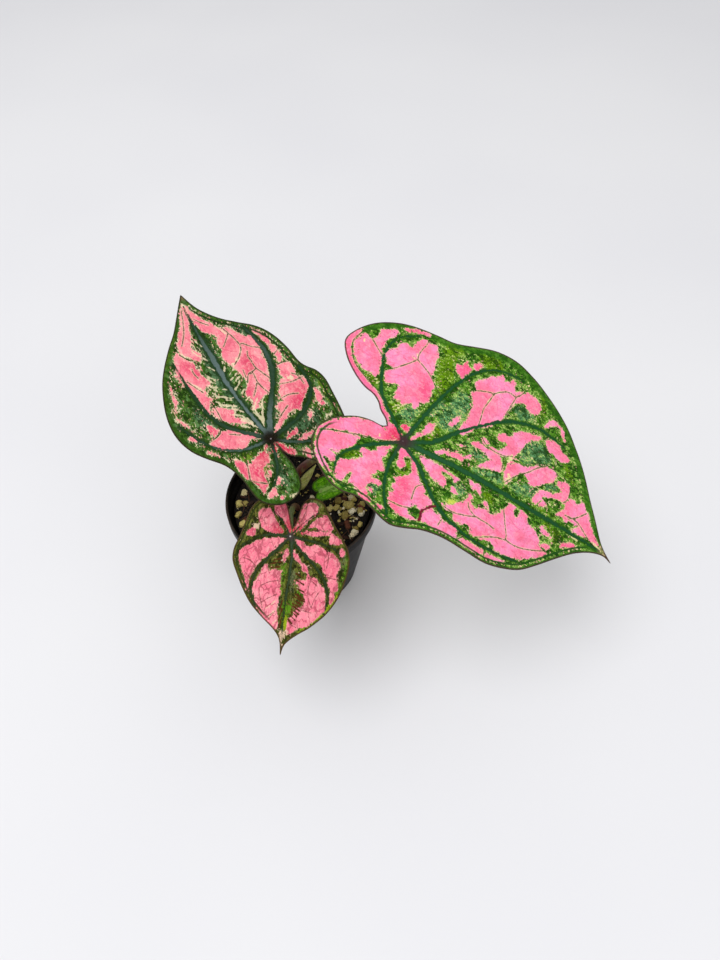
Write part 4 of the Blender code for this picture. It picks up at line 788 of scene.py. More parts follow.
def bladeHeight(leaf, points, veinGap):
    u, v = points[:, 0], points[:, 1]
    bend = -leaf["droop"] * np.maximum(u, 0) ** 2 - 2 * leaf["back"] * np.minimum(u, 0) ** 2
    bend = bend + 2 * leaf["cup"] * v * v
    puff = leaf["puff"] * (1 - np.exp(-(veinGap / leaf["puffReach"]) ** 2))
    edge = (np.hypot(u, v) / leaf["length"]) ** 2
    wave = leaf["wave"] * edge * np.sin(leaf["waves"] * np.arctan2(v, u))
    return bend / leaf["length"] + puff + wave


def bladeSheet(leaf):
    grid = leaf["grid"]
    lower = evenLine(smoothLine(leaf["lower"], 6), grid)
    upper = evenLine(smoothLine(leaf["upper"], 6), grid)
    loop = np.vstack([lower, upper[-2:0:-1]])
    lines = [evenLine(smoothLine(vein[-1], 4), grid) for vein in leaf["veins"]]
    drawn = leaf["fineVeins"] + leaf["scars"] + [stroke for _, stroke in leaf["creamAndGlintStrokes"]]
    lines += [evenLine(smoothLine(line, 4), grid) for line in drawn]
    points = list(map(tuple, loop))
    edges = [(i, (i + 1) % len(loop)) for i in range(len(loop))]
    for line in lines:
        start = len(points)
        points += list(map(tuple, line))
        edges += [(start + i, start + i + 1) for i in range(len(line) - 1)]
    low, high = loop.min(0), loop.max(0)
    rows = np.arange(low[1], high[1], grid * math.sqrt(3) / 2)
    inner = [(u + 0.5 * grid * (i % 2), v) for i, v in enumerate(rows)
             for u in np.arange(low[0], high[0], grid)]
    inner = np.array(inner)
    inner = inner[insideLoop(inner, loop)]
    inner = inner[loopGap(inner, loop) > 0.5 * grid]
    for line in lines:
        close = np.all((inner > line.min(0) - grid) & (inner < line.max(0) + grid), axis=1)
        keep = np.ones(len(inner), bool)
        keep[close] = lineGap(inner[close], line)[0] > 0.42 * grid
        inner = inner[keep]
    points += list(map(tuple, inner))
    flat, _, faces = delaunay_2d_cdt([Vector(p) for p in points], edges, [], 1, 0.00001)[:3]
    return np.array([tuple(p) for p in flat]), np.array(faces), loop


def storeValues(mesh, label, values):
    place = mesh.attributes.new(label, "FLOAT", "POINT").data
    place.foreach_set("value", np.asarray(values, np.float32))


def addObject(name, data):
    made = bpy.data.objects.new(name, data)
    bpy.context.scene.collection.objects.link(made)
    return made


def mount(piece, node):
    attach(piece, "root")
    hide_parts(node)


def edgeOrder(faces):
    # the border as pairs of points, each in the turning direction of its own triangle
    pairs = np.vstack([faces[:, [0, 1]], faces[:, [1, 2]], faces[:, [2, 0]]])
    known = set(map(tuple, pairs))
    return np.array([pair for pair in map(tuple, pairs) if (pair[1], pair[0]) not in known])


def makeBlade(name, leaf, finish, node):
    flat, faces, loop = bladeSheet(leaf)
    corners = flat[faces]
    turned = np.cross(corners[:, 1] - corners[:, 0], corners[:, 2] - corners[:, 0])
    faces[turned < 0] = faces[turned < 0][:, ::-1]
    origin, along, across, normal = leafFrame(leaf)
    veinGap = np.full(len(flat), 1e9)
    veinEdge = np.full(len(flat), -far)
    rib = np.zeros(len(flat))
    sheen = np.zeros(len(flat))
    # each vein also carries how much painted grey sheen it shows, stored as sheen
    for widths, shine, line in leaf["veins"]:
        gap, share = lineGap(flat, smoothLine(line, 2))
        veinGap = np.minimum(veinGap, gap)
        depth = np.interp(share, np.linspace(0, 1, len(widths)), widths) - gap
        sheen = np.where(depth > veinEdge, np.interp(share, np.linspace(0, 1, len(shine)), shine), sheen)
        veinEdge = np.maximum(veinEdge, depth)
        rib = np.maximum(rib, (1 - 0.8 * share) * np.exp(-(gap / leaf["ribWidth"]) ** 2))
    fineGap, scarGap = linesGap(flat, leaf["fineVeins"]), linesGap(flat, leaf["scars"])
    edgeGap = loopGap(flat, loop)
    rib = np.maximum(rib, 0.28 * np.exp(-(fineGap / 0.35) ** 2))
    middle = (origin + flat[:, :1] * along + flat[:, 1:] * across
              + bladeHeight(leaf, flat, veinGap)[:, None] * normal)
    up = np.zeros((len(flat), 3))
    faceNormal = np.cross(middle[faces[:, 1]] - middle[faces[:, 0]],
                          middle[faces[:, 2]] - middle[faces[:, 0]])
    for corner in range(3):
        np.add.at(up, faces[:, corner], faceNormal)
    up /= np.linalg.norm(up, axis=1)[:, None]
    half = 0.5 * leaf["thickness"] * (0.62 + 0.38 * np.clip(edgeGap / 3, 0, 1))
    half = half + 0.06 * np.exp(-(edgeGap / 0.35) ** 2)  # a fine bead runs round the margin
    groove = leaf["groove"] * np.exp(-(veinGap / 0.7) ** 2) + 0.05 * np.exp(-(fineGap / 0.3) ** 2)
    fade = np.clip(edgeGap / 1.5, 0, 1)
    top = middle + up * (half - groove * fade)[:, None]
    bottom = middle - up * (half + leaf["ribHeight"] * rib * fade)[:, None]
    border = edgeOrder(faces)
    ring = sorted(set(border.ravel()))
    ringIndex = {p: 2 * len(flat) + i for i, p in enumerate(ring)}
    outward = np.zeros((len(flat), 2))
    for a, b in border:
        step = flat[b] - flat[a]
        side = np.array([step[1], -step[0]]) / max(np.linalg.norm(step), 1e-9)
        outward[a] += side
        outward[b] += side
    outward = outward[ring] / np.linalg.norm(outward[ring], axis=1)[:, None]
    lip = middle[ring] + 0.8 * half[ring][:, None] * (outward[:, :1] * along + outward[:, 1:] * across)
    verts = np.vstack([top, bottom, lip]) * mm
    count = len(flat)
    polygons = [tuple(f) for f in faces] + [tuple(f[::-1] + count) for f in faces]
    for a, b in border:
        polygons.append((b, a, ringIndex[a], ringIndex[b]))
        polygons.append((ringIndex[b], ringIndex[a], a + count, b + count))
    mesh = bpy.data.meshes.new(name)
    mesh.from_pydata(verts.tolist(), [], [tuple(int(i) for i in p) for p in polygons])
    mesh.update()
    fields = {"veinEdge": veinEdge, "fineGap": fineGap, "scarGap": scarGap, "edgeGap": edgeGap,
              "sheen": sheen}
    fields["strokeGap"] = strokeDepth(flat, leaf["creamAndGlintStrokes"])
    fields["patchGap"] = patchGap(flat, leaf["patches"])
    for kind in ("hot", "cream", "yellow", "lime", "grey"):
        fields[kind + "Gap"] = patchGap(flat, leaf[kind + "Patches"])
    for label, values in fields.items():
        storeValues(mesh, label, np.concatenate([values, values, values[ring]]))
    below = np.concatenate([np.zeros(count), np.ones(count), np.full(len(ring), 0.5)])
    storeValues(mesh, "underside", below)
    drawn = np.vstack([flat, flat, flat[ring]])
    drawn = np.hstack([drawn, np.zeros((len(drawn), 1))]).astype(np.float32)
    mesh.attributes.new("drawing", "FLOAT_VECTOR", "POINT").data.foreach_set("vector", drawn.ravel())
    uvMap = mesh.uv_layers.new(name="blade")
    corner = np.zeros(len(mesh.loops), np.int32)
    mesh.loops.foreach_get("vertex_index", corner)
    sheet = (drawn[corner][:, :2] + sheetShift) / sheetSpan
    sheet[:, 1] += 0.5 * (below[corner] > 0.75)
    uvMap.data.foreach_set("uv", sheet.ravel().astype(np.float32))
    mesh.shade_smooth()
    mesh.materials.append(finish)
    mount(addObject(name, mesh), node)
    print(name, "has", len(polygons), "faces")


# leaf finishes

def field(tree, name):
    return put(tree, "ShaderNodeAttribute", attribute_name=name).outputs["Fac"]


def bladeFinish(name, values):
    finish, tree, shader = newFinish(name)
    look = readLook(values)
    place = put(tree, "ShaderNodeAttribute", attribute_name="drawing").outputs["Vector"]
    streaky = put(tree, "ShaderNodeMapping", {"Vector": place, "Rotation": (0.0, 0.0, look.streakTurn),
                                              "Scale": (look.streakStretch, 1.0, 1.0)}).outputs[0]
    along, across = axes(tree, place)[:2]
    radius = put(tree, "ShaderNodeVectorMath", {0: place}, operation="LENGTH").outputs["Value"]
    edge, veins, depth = field(tree, "edgeGap"), field(tree, "veinEdge"), field(tree, "patchGap")
    upperSide = rise(tree, across, -0.5, 0.5)
    ragged = useGroup(tree, raggedPatch, {"Gap": depth, "Place": streaky, "Sway": look.sway,
                                          "Tooth": look.tooth})
    relief = useGroup(tree, skinRelief, {"Place": place, "Cell": look.cell, "Grain": 0.25})
    slow = cloud(tree, place, 5.0, 3.0, 0.6)
    quick = cloud(tree, streaky, 1.5, 4.0, 0.7)
    fine = cloud(tree, streaky, 0.55, 3.0, 0.7)
    slowSway, sway, fineSway = centred(tree, slow), centred(tree, quick), centred(tree, fine)

    def uneven(value, amount, swing=sway):
        return scaleAdd(tree, swing, amount, value)

    # greens: a mosaic of small fields in four tones, the lightest partly a painted sheen, then the painted
    # grey-green sheen zones and the lime zones over it
    tone = useGroup(tree, leafMosaic, {"Place": streaky, "Size": look.tile})
    level = uneven(tone["Tone"], 0.5, slowSway)
    green = blend(tree, rise(tree, level, 0.36, 0.50), look.darkGreen, look.midGreen)
    # painted sheen: a grey-green tone laid over the grey patches where the leaf shows a bluish sheen
    greySheenShare = times(tree, rise(tree, uneven(field(tree, "greyGap"), 7.0), -0.9, 1.2), look.greyAmount)
    green = blend(tree, greySheenShare, green, look.greyGreen)
    # partly painted sheen: the lightest mosaic fields take a light green that is partly the leaf's pale
    # green, partly sheen on raised fields
    green = paint(tree, green, look.lightGreen, rise(tree, level, 0.60, 0.70), look.brightAmount)
    limeShare = times(tree, rise(tree, uneven(field(tree, "limeGap"), 7.0), -0.7, 0.7), look.limeAmount)
    green = blend(tree, limeShare, green, look.lime)
    dark = rise(tree, uneven(level, 0.8, fineSway), 0.42, 0.30)
    green = paint(tree, green, look.deepGreen, dark, 0.85)
    green = paint(tree, green, look.deepGreen, tone["Net"], 0.55)

    plainRim = times(tree, rise(tree, edge, look.plainRim, look.plainRim * 0.6), upperSide)
    plainRim = calc(tree, "MAXIMUM", plainRim, rise(tree, edge, 0.85, 0.60))
    green = paint(tree, green, look.darkGreen, plainRim, 0.6)

    # flecks are thickest beside the patches and thin out towards plain green
    share = scaleAdd(tree, rise(tree, depth, -look.fleckReach, 0.3), look.fleckShare, look.strayShare)
    share = uneven(share, 1.0, slowSway)
    rimSide = calc(tree, "MAXIMUM", rise(tree, across, -4.0, -8.0), rise(tree, along, 40.0, 50.0))
    rimSide = times(tree, rimSide, calc(tree, "SUBTRACT", 1.0, upperSide))
    rimBand = times(tree, rise(tree, edge, look.rimVein, look.rimVein - 0.4), rimSide)
    share = scaleAdd(tree, rimBand, look.rimShare, share)
    share = scaleAdd(tree, plainRim, -0.6, share)
    share = scaleAdd(tree, rise(tree, veins, -0.9, 0.0), -0.35, share)
    flecks = useGroup(tree, leafFlecks, {"Place": streaky, "Size": look.fleckSize, "Share": share})
    green = paint(tree, green, blend(tree, flecks["Tone"], look.cream, look.fleckPink), flecks["Mask"], 0.8)

    # pale pricks on the lighter fields
    pricks = times(tree, rise(tree, level, 0.35, 0.75), look.prickShare)
    pricks = scaleAdd(tree, plainRim, -0.5, scaleAdd(tree, limeShare, -0.10, pricks))
    pricks = useGroup(tree, leafFlecks, {"Place": place, "Size": 0.62, "Share": pricks})["Mask"]
    green = paint(tree, green, look.prick, pricks, 0.85)

    # a darker, toothed flank beside every main vein
    tooth = centred(tree, tone["Tone"])
    flank = rise(tree, uneven(uneven(veins, 2.0, tooth), 3.2), look.flankReach, 0.0)
    green = paint(tree, green, look.flank, flank, 0.9)
    yellow = rise(tree, uneven(field(tree, "yellowGap"), 5.0, fineSway), -0.3, 0.5)
    green = paint(tree, green, look.yellow, yellow, 0.9)

    # pinks
    # partly painted sheen: slow noise mixes in a lighter lilac pink that is partly the leaf's own tone,
    # partly its sheen
    pink = blend(tree, rise(tree, cloud(tree, place, 9.0, 2.0, 0.5), 0.40, 0.62), look.pink, look.otherPink)
    hot = rise(tree, uneven(field(tree, "hotGap"), 6.0), -2.0, 2.6)
    pink = paint(tree, pink, look.hot, hot, look.hotAmount)
    flush = times(tree, rise(tree, radius, look.flushReach, look.flushReach * 0.4),
                  rise(tree, along, 0.6, -1.4))
    pink = paint(tree, pink, look.flush, flush, 0.85)
    pink = paint(tree, pink, look.palePink, rise(tree, tone["Tone"], 0.50, 0.80), look.paleAmount)
    pink = paint(tree, pink, look.palePink, rise(tree, fine, 0.52, 0.66), 0.25)
    pink = paint(tree, pink, look.hot, rise(tree, quick, 0.46, 0.34), 0.40)
    drift = warped(tree, streaky, 0.35, (5.0, 5.0, 0.0), 3.0)
    threads = cells(tree, drift, look.netCell, "DISTANCE_TO_EDGE").outputs["Distance"]
    threads = times(tree, rise(tree, threads, look.netWidth, look.netWidth * 0.4),
                    rise(tree, slow, 0.36, 0.50))
    pink = paint(tree, pink, look.net, threads, look.netAmount)
    holeShare = times(tree, rise(tree, ragged["Gap"], 1.6, 0.0), look.holeShare)
    holes = useGroup(tree, leafFlecks, {"Place": streaky, "Size": 0.8, "Share": holeShare})
    patch = times(tree, ragged["Mask"], calc(tree, "SUBTRACT", 1.0, holes["Mask"]))
    mixed = blend(tree, patch, green, pink)
    # cream patches and strokes: mostly the leaf's own cream marks, some of them painted glints
    cream = rise(tree, uneven(field(tree, "creamGap"), 8.0), 0.1, 0.8)
    stroke = rise(tree, uneven(field(tree, "strokeGap"), 2.4), -0.10, 0.14)
    cream = calc(tree, "MAXIMUM", cream, times(tree, stroke, 0.85))
    mixed = paint(tree, mixed, look.cream, cream, 0.85)
    rim = times(tree, ragged["Rim"], rise(tree, fine, 0.46, 0.56))
    mixed = paint(tree, mixed, look.cream, rim, look.rimAmount)

    # fine veins: a dark broken line in a pale halo, partly the leaf's pale border, partly painted highlight
    # either side of the sunken vein
    wander = uneven(field(tree, "fineGap"), 0.9)
    haloAndHighlight = times(tree, rise(tree, wander, 0.62, 0.25), look.haloAmount)
    mixed = paint(tree, mixed, look.cream, haloAndHighlight, patch)
    line = times(tree, rise(tree, wander, look.fineWidth, look.fineWidth * 0.5),
                 rise(tree, fine, 0.36, 0.50))
    mixed = paint(tree, mixed, look.fineVein, line, look.fineAmount)

    # a vein that follows the lower rim
    rimLine = uneven(calc(tree, "ABSOLUTE", calc(tree, "SUBTRACT", edge, look.rimVein)), 0.8)
    rimLine = times(tree, rise(tree, rimLine, 0.50, 0.26), rimSide)
    mixed = paint(tree, mixed, look.flank, rimLine, 0.92)
    scar = rise(tree, uneven(field(tree, "scarGap"), -1.6), look.scarWidth, look.scarWidth * 0.35)
    mixed = blend(tree, scar, mixed, look.scar)

    # main veins, dark towards the junction, with a grey sheen painted along their middle
    veinLine = rise(tree, uneven(uneven(veins, 1.6), 0.5, tooth), -0.16, 0.16)
    core = times(tree, rise(tree, scaleAdd(tree, slow, 2.0, radius), look.coreReach, 1.5), look.coreAmount)
    # painted sheen: a lighter grey reflection laid along the middle of each main vein
    streak = times(tree, rise(tree, uneven(veins, 2.0), 0.0, 0.5), field(tree, "sheen"))
    veinColour = paint(tree, look.vein, look.veinLight, streak, look.veinSheen)
    veinColour = blend(tree, core, veinColour, look.core)
    mixed = blend(tree, veinLine, mixed, veinColour)
    heart = rise(tree, uneven(radius, 3.0), look.heartReach, 0.8)
    mixed = paint(tree, mixed, look.core, heart, look.coreAmount)
    mixed = blend(tree, rise(tree, radius, 0.42, 0.18), mixed, look.navel)

    # the last few millimetres of the tip turn tan, and a thin dark line runs round the margin
    tan = rise(tree, uneven(along, 6.0), look.tanFrom, look.tanFrom + 6.0)
    mixed = paint(tree, mixed, look.tan, tan, 0.75)
    mixed = paint(tree, mixed, look.margin, rise(tree, uneven(edge, 0.5), 0.55, 0.20), 0.9)

    # the underside is paler, with light ribs
    below = rise(tree, field(tree, "underside"), 0.6, 0.9)
    mixed = paint(tree, mixed, paint(tree, look.below, look.belowRib, veinLine, 0.8), below, 0.52)
    rough = scaleAdd(tree, below, 0.12, scaleAdd(tree, quick, 0.22, look.roughness))
    dress(tree, shader, mixed, rough, look.gloss)
    shader.inputs["Specular Tint"].default_value = glossTint
    bump(tree, shader, scaleAdd(tree, line, -0.5, relief["Height"]), 0.00025, 0.7)
    return finish


lookRight = {
    "deepGreen": (18, 58, 6), "darkGreen": (40, 96, 14), "midGreen": (84, 138, 34), "tile": 1.7,
    "lightGreen": (134, 178, 84), "brightAmount": 0.5, "greyGreen": (92, 146, 98), "greyAmount": 0.8,
    "lime": (100, 142, 2), "limeAmount": 0.85, "flank": (20, 72, 20), "flankReach": -0.55,
    "cream": (230, 224, 160), "fleckPink": (246, 176, 168), "fleckSize": 0.9, "fleckShare": 0.12,
    "strayShare": 0.08, "fleckReach": 3.5, "rimShare": 0.16, "yellow": (200, 212, 84),
    "net": (210, 84, 112), "netAmount": 0.35, "netCell": 5.0, "netWidth": 0.05, "flush": (226, 30, 84),
    "flushReach": 10.0, "paleAmount": 0.35, "fineWidth": 0.30, "fineAmount": 0.9, "pink": (246, 120, 154),
    "otherPink": (250, 138, 182), "hot": (240, 66, 118), "hotAmount": 0.72, "palePink": (255, 178, 196),
    "vein": (18, 72, 38), "veinLight": (52, 102, 68), "veinSheen": 0.8, "core": (62, 40, 48),
    "coreReach": 8.0, "heartReach": 3.0, "coreAmount": 0.85, "navel": (92, 78, 84),
    "fineVein": (52, 76, 30), "scar": (112, 22, 44), "scarWidth": 0.7, "prick": (190, 208, 116),
    "prickShare": 0.42, "haloAmount": 0.40, "margin": (66, 46, 44), "below": (158, 176, 140),
    "belowRib": (176, 196, 140), "sway": 1.3, "tooth": 1.1, "holeShare": 0.26, "rimAmount": 0.55,
    "plainRim": 3.2, "rimVein": 1.9, "roughness": 0.40, "gloss": 0.10, "cell": 1.6, "streakTurn": 1.2,
    "streakStretch": 0.65, "tan": (160, 128, 96), "tanFrom": 88.0,
}
lookLeft = dict(
    lookRight, prick=(176, 184, 132), prickShare=0.10, haloAmount=0.5, deepGreen=(14, 40, 6),
    darkGreen=(40, 78, 14), midGreen=(66, 104, 32), tile=1.6, lightGreen=(104, 142, 98), brightAmount=0.45,
    greyGreen=(74, 106, 80), greyAmount=0.75, lime=(104, 134, 22), limeAmount=0.7, flank=(16, 46, 14),
    flankReach=-1.3, cream=(224, 210, 174), fleckPink=(232, 160, 150), fleckSize=0.75, fleckShare=0.26,
    rimAmount=0.8, fleckReach=4.0, pink=(232, 116, 136), otherPink=(240, 140, 150), hot=(214, 48, 94),
    hotAmount=0.85, palePink=(254, 190, 184), paleAmount=0.45, vein=(22, 54, 32), veinLight=(88, 106, 104),
    veinSheen=1.0, core=(14, 4, 10), coreReach=7.0, heartReach=4.6, coreAmount=0.95, navel=(128, 116, 122),
    fineVein=(58, 52, 34), margin=(44, 36, 26), rimVein=2.0, plainRim=2.2, rimShare=0.10, roughness=0.36,
    gloss=0.09, streakTurn=0.25, streakStretch=0.55, holeShare=0.25, net=(196, 74, 96), netAmount=0.4,
    netCell=6.0, flush=(204, 34, 74), flushReach=14.0, tan=(150, 112, 92), tanFrom=71.0
)
lookFront = dict(
    lookRight, deepGreen=(24, 28, 6), darkGreen=(52, 60, 16), midGreen=(92, 96, 34), tile=1.5,
    lightGreen=(118, 122, 58), greyGreen=(104, 112, 84), lime=(84, 132, 22), scar=(78, 40, 16),
    scarWidth=0.42, limeAmount=0.9, flank=(40, 52, 18), flankReach=-0.35, cream=(230, 196, 168),
    fleckPink=(214, 124, 118), fleckSize=0.7, fleckShare=0.10, strayShare=0.06, fleckReach=2.0,
    pink=(238, 114, 140), otherPink=(246, 138, 156), hot=(196, 46, 84), hotAmount=0.65,
    palePink=(248, 180, 180), paleAmount=0.45, vein=(36, 54, 32), veinLight=(86, 98, 82), core=(62, 52, 54),
    coreReach=4.0, heartReach=1.4, navel=(190, 184, 180), fineVein=(118, 46, 56), fineWidth=0.24,
    fineAmount=0.8, haloAmount=0.05, prick=(156, 160, 96), prickShare=0.15, margin=(78, 58, 36), sway=0.9,
    tooth=0.9, rimVein=1.3, plainRim=0.8, rimShare=0.10, net=(158, 54, 76), netAmount=0.65, netCell=3.0,
    netWidth=0.09, flush=(186, 14, 54), flushReach=9.0, yellow=(148, 164, 30), holeShare=0.2,
    rimAmount=0.25, roughness=0.38, gloss=0.11, streakTurn=0.0, streakStretch=0.6, cell=1.2,
    tan=(112, 52, 48), tanFrom=39.0
)
lookYoung = dict(
    lookRight, prickShare=-0.5, deepGreen=(66, 134, 0), darkGreen=(78, 152, 2), midGreen=(112, 190, 20),
    tile=1.0, lightGreen=(148, 206, 64), brightAmount=0.4, lime=(170, 208, 116), limeAmount=0.8,
    vein=(160, 204, 104), veinLight=(176, 198, 140), flank=(84, 158, 22), core=(120, 150, 80),
    coreReach=2.0, heartReach=0.8, coreAmount=0.5, navel=(140, 165, 100), margin=(60, 96, 20),
    fineVein=(98, 146, 56), fleckShare=0.0, strayShare=-0.5, below=(126, 166, 84), plainRim=0.5,
    rimVein=0.8, roughness=0.34, gloss=0.2, cell=0.9
)

leaves = {
    "right": (leafRight, lookRight, "leaf"), "left": (leafLeft, lookLeft, "leaf"),
    "front": (leafFront, lookFront, "leaf"), "young": (leafYoung, lookYoung, "young_leaf"),
}
for side, (leaf, look, slotName) in leaves.items():
    makeBlade("blade_" + side, leaf, bladeFinish(side + "BladeFinish", look), "leaf_" + side)


# Geometry Nodes helpers

def geometryTree(name, inputs):
    inputs = [("Geometry", "NodeSocketGeometry", None)] + inputs
    return newGroup(name, "GeometryNodeTree", inputs, [("Geometry", "NodeSocketGeometry")])


def shape(tree, kind, values=None, **settings):
    return put(tree, "GeometryNode" + kind, values, **settings).outputs[0]


def closeTree(tree, result, last, finish):
    real = shape(tree, "RealizeInstances", {"Geometry": last})
    feed(tree, result["Geometry"], shape(tree, "SetMaterial", {"Geometry": real, "Material": finish}))
    return tree


def runTree(obj, tree, values):
    # sets the inputs, evaluates, and keeps the result as a plain mesh
    modifier = obj.modifiers.new(tree.name, "NODES")
    modifier.node_group = tree
    for item in tree.interface.items_tree:
        if item.in_out == "INPUT" and item.name in values:
            modifier[item.identifier] = values[item.name]
    bpy.context.view_layer.update()
    graph = bpy.context.evaluated_depsgraph_get()
    mesh = bpy.data.meshes.new_from_object(obj.evaluated_get(graph), depsgraph=graph)
    obj.modifiers.clear()
    while len(mesh.materials) > 1:
        mesh.materials.pop(index=0)
    mesh.polygons.foreach_set("material_index", [0] * len(mesh.polygons))
    old = obj.data
    obj.data = mesh
    mesh.name = obj.name
    bpy.data.meshes.remove(old)
    return obj


def meshObject(name, verts, edges=(), faces=()):
    mesh = bpy.data.meshes.new(name)
    mesh.from_pydata([tuple(v) for v in verts], list(edges), list(faces))
    return addObject(name, mesh)


# petioles: a tapering stem along a line, with shallow grooves round it

def makeStemTree():
    tree, given, result = geometryTree("stemTree", [
        ("Base Radius", number, 0.0019), ("Top Radius", number, 0.0012), ("Sides", whole, 20),
        ("Groove", number, 0.03), ("Grooves", number, 7.0), ("Finish", material, None),
    ])
    curve = shape(tree, "MeshToCurve", {"Mesh": given["Geometry"]})
    along = put(tree, "GeometryNodeSplineParameter").outputs["Factor"]
    radius = put(tree, "ShaderNodeMapRange", {"Value": along, "To Min": given["Base Radius"],
                                              "To Max": given["Top Radius"]}).outputs["Result"]
    marked = shape(tree, "StoreNamedAttribute", {"Geometry": curve, "Name": "stemShare", "Value": along},
                   data_type="FLOAT", domain="POINT")
    ring = shape(tree, "CurvePrimitiveCircle", {"Resolution": given["Sides"], "Radius": 1.0})
    around = times(tree, put(tree, "GeometryNodeSplineParameter").outputs["Factor"], 2 * math.pi)
    swell = times(tree, calc(tree, "COSINE", times(tree, around, given["Grooves"])), given["Groove"])
    where = shape(tree, "InputPosition")
    shift = vectorMath(tree, "SCALE", where, scale=swell)
    profile = shape(tree, "SetPosition", {"Geometry": ring, "Offset": shift})
    tube = shape(tree, "CurveToMesh", {"Curve": marked, "Profile Curve": profile, "Scale": radius,
                                       "Fill Caps": True})
    smooth = shape(tree, "SetShadeSmooth", {"Geometry": tube})
    return closeTree(tree, result, smooth, given["Finish"])


stemLook = {
    "low": (112, 58, 52), "high": (118, 138, 74), "streak": (70, 30, 34), "pale": (168, 176, 116),
    "roughness": 0.34, "gloss": 0.4,
}


def stemFinish():
    # green above, flushed red-brown towards the soil, with short dark streaks
    finish, tree, shader = newFinish("stemFinish")
    look = readLook(stemLook)
    place = objectPlace(tree)
    up = field(tree, "stemShare")
    wander = cloud(tree, place, 5.0, 2.0, 0.5)
    share = rise(tree, scaleAdd(tree, centred(tree, wander), 0.5, up), 0.25, 0.75)
    skin = blend(tree, share, look.low, look.high)
    long = put(tree, "ShaderNodeMapping", {"Vector": place, "Scale": (1.0, 1.0, 0.22)}).outputs[0]
    dashes = rise(tree, cloud(tree, long, 0.55, 2.0, 0.6), 0.56, 0.66)
    skin = paint(tree, skin, look.streak, dashes, 0.6)
    light = rise(tree, cloud(tree, long, 1.3, 2.0, 0.6), 0.58, 0.75)
    skin = paint(tree, skin, look.pale, light, 0.4)
    relief = useGroup(tree, skinRelief, {"Place": long, "Cell": 0.6, "Grain": 0.4})
    rough = scaleAdd(tree, wander, 0.2, look.roughness)
    dress(tree, shader, skin, rough, look.gloss)
    bump(tree, shader, relief["Height"], 0.00008, 0.5)
    return finish


def petioleLine(leaf):
    origin, _, _, normal = leafFrame(leaf)
    top = leaf["petioleRadii"][1]
    knots = list(leaf["petiole"]) + [tuple(origin - 2.2 * top * normal), tuple(origin - 0.35 * normal)]
    return evenLine(smoothLine(knots, 8), 1.1) * mm


def makePetiole(name, leaf, tree, finish, node):
    line = petioleLine(leaf)
    stem = meshObject(name, line, [(i, i + 1) for i in range(len(line) - 1)])
    base, top = leaf["petioleRadii"]
    runTree(stem, tree, {"Base Radius": base * mm, "Top Radius": top * mm, "Sides": 24, "Groove": 0.035,
                         "Grooves": 8.0, "Finish": finish})
    mount(stem, node)


stemTree = makeStemTree()
petioleFinish = stemFinish()
for side, (leaf, look, slotName) in leaves.items():
    makePetiole("petiole_" + side, leaf, stemTree, petioleFinish, "leaf_" + side)
print("petioles made")


# the rolled new leaf, wound round itself with one free edge that spirals up it

spear = {
    "line": [(1.2, 6.4, 39), (0.2, 8.6, 50), (1.6, 8.9, 55), (4.0, 8.9, 60), (7.4, 8.7, 67)],
    "radii": [1.3, 1.3, 1.75, 1.55, 0.25], "sides": 40, "rings": 90, "step": 0.20, "turns": 0.9,
    "pale": (242, 238, 152), "deep": (204, 212, 106), "stripe": (252, 250, 190), "foot": (136, 108, 66),
}


def makeSpear():
    line = smoothLine(spear["line"], 24)
    radii = smoothLine([(r, 0.0) for r in spear["radii"]], 24)[:, 0]
    wanted = np.linspace(0, len(line) - 1, spear["rings"])
    line = np.stack([np.interp(wanted, range(len(line)), line[:, axis]) for axis in range(3)], 1)
    radii = np.interp(wanted, range(len(radii)), radii)
    verts, sides = [], spear["sides"]
    side = np.array([1.0, 0.0, 0.0])
    for i, centre in enumerate(line):
        ahead = line[min(i + 1, len(line) - 1)] - line[max(i - 1, 0)]
        ahead /= np.linalg.norm(ahead)
        side = side - ahead * (side @ ahead)
        side /= np.linalg.norm(side)
        other = np.cross(ahead, side)
        start = 2 * math.pi * spear["turns"] * i / len(line)
        for k in range(sides):
            share = k / sides
            angle = start + 2 * math.pi * share
            # the section is a flat spiral: it grows round once and drops back at the free edge
            drop = min(1.0, (1 - share) / 0.06)
            radius = radii[i] * (1 - spear["step"] * 0.5 + spear["step"] * (share * drop))
            verts.append((centre + radius * (math.cos(angle) * side + math.sin(angle) * other)) * mm)
    faces = [(i * sides + k, i * sides + (k + 1) % sides, (i + 1) * sides + (k + 1) % sides,
              (i + 1) * sides + k) for i in range(len(line) - 1) for k in range(sides)]
    faces += [tuple(range(sides))[::-1], tuple((len(line) - 1) * sides + k for k in range(sides))]
    obj = meshObject("rolled_leaf", verts, faces=faces)
    mesh = obj.data
    storeValues(mesh, "stemShare", np.repeat(np.linspace(0, 1, len(line)), sides))
    storeValues(mesh, "roundShare", np.tile(np.arange(sides) / sides, len(line)))
    mesh.shade_smooth()
    mesh.materials.append(spearFinish())
    mount(obj, "spear")


